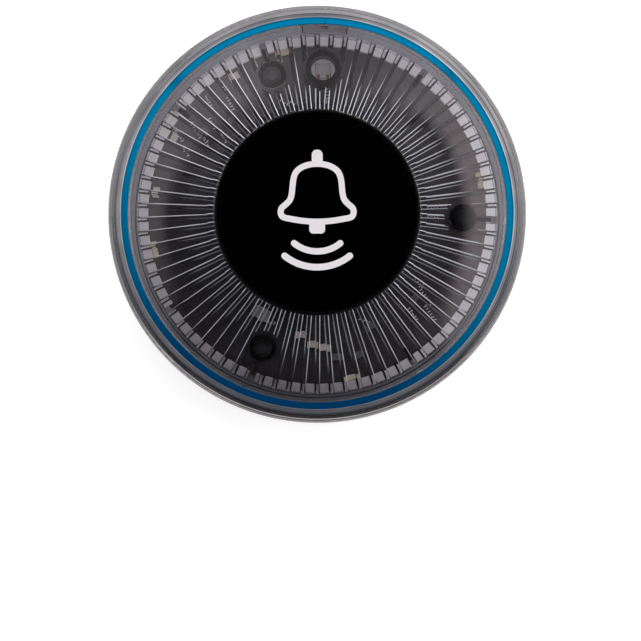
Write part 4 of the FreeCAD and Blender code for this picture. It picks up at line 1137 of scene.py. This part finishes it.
# %% Overhead card with the camera's hole
card_height = 640 * mm
card_reach = 900 * mm
mirror_spread = 6.85
mirror_shift = Vector((0, view_slope * camera_height, 0))
dark_edge = ((0, 24), (25, 25), (36, 25.5), (48, 27.8), (60, 28.6), (80, 28.8), (100, 29.1), (118, 29.8),
             (130, 31.0), (138, 35), (226, 35), (240, 31), (255, 30.2), (270, 29.8), (285, 28.0), (298, 26.5),
             (320, 25.5), (340, 24.5), (360, 24))
card_glow = ((0, 0.45), (15, 0.65), (30, 1.15), (50, 1.7), (65, 2.1), (90, 2.0), (120, 1.6), (138, 0.9),
             (226, 0.4), (245, 0.4), (270, 1.1), (300, 1.0), (325, 1.4), (338, 1.3), (348, 0.8), (360, 0.45))
edge_soft = 1.4
open_from, open_to = 139, 225
card_end = card_reach / mirror_spread / mm
card_steps = 180

card_points, card_shine = [], []
for step in range(card_steps):
    clock = 360.0 * step / card_steps
    edge_here = round_clock(dark_edge, clock)
    glow_here = round_clock(card_glow, clock)
    for reach, share in ((edge_here - edge_soft, 0.0), (edge_here + edge_soft, 1.0), (card_end, 1.0)):
        card_points.append(on_dial(clock, reach * mirror_spread * mm, card_height) + mirror_shift)
        card_shine.append(glow_here * share)
card_faces = [face for face in ring_faces(3, card_steps)
              if not open_from < 360.0 * (face[0] // 3 + 0.5) / card_steps < open_to]
overhead_glow = card_material("overhead_glow", 1.0, (1.0, 0.945, 0.965))
tree = overhead_glow.node_tree
tree.links.new(painted(tree, "glow"), tree.nodes["Emission"].inputs["Strength"])
overhead_card = stage_mesh("overhead_card", card_points, card_faces, overhead_glow, seen=False)
paint(overhead_card, "glow", card_shine)

# %% Side cards and the dark flag
def upright_card(name, clock, distance, width, low, high, material):
    """Upright card that faces the button from a clock angle."""
    middle = on_dial(clock, distance)
    across = on_dial(clock + 90.0, width / 2)
    left, right = middle - across, middle + across
    corners = ((left, low), (right, low), (right, high), (left, high))
    stage_mesh(name, [foot + Vector((0, 0, height)) for foot, height in corners], [(0, 1, 2, 3)], material,
               seen=False)


upright_card("back_card", 8.0, 1.0, 1.3, 0.05, 0.95, card_material("back_glow", 3.1))
upright_card("right_card", 80.0, 1.05, 0.9, 0.05, 0.8, card_material("right_glow", 2.1, (1.0, 0.96, 0.92)))
upright_card("left_card", 280.0, 1.05, 0.9, 0.05, 0.8, card_material("left_glow", 1.4))
flag_black = new_material("flag_black", 0.9, Base_Color=(0.004, 0.004, 0.004, 1.0))[0]
stage_mesh("camera_flag", [on_dial(clock, 0.45, card_height + 0.02) for clock in range(0, 360, 15)],
           [list(range(24))], flag_black, seen=False)
upright_card("front_flag", 180.0, 1.1, 2.2, 0.0, 1.0, flag_black)

# %% World
world = bpy.data.worlds.new("world")
scene.world = world
world.use_nodes = True
tree = world.node_tree
tree.links.new(remap(tree, eye_rays(tree), 0.0, 1.0, 0.38, 1.0), tree.nodes["Background"].inputs["Strength"])
tree.nodes["Background"].inputs["Color"].default_value = (1.0, 1.0, 1.0, 1.0)
scene.view_settings.view_transform = "Standard"
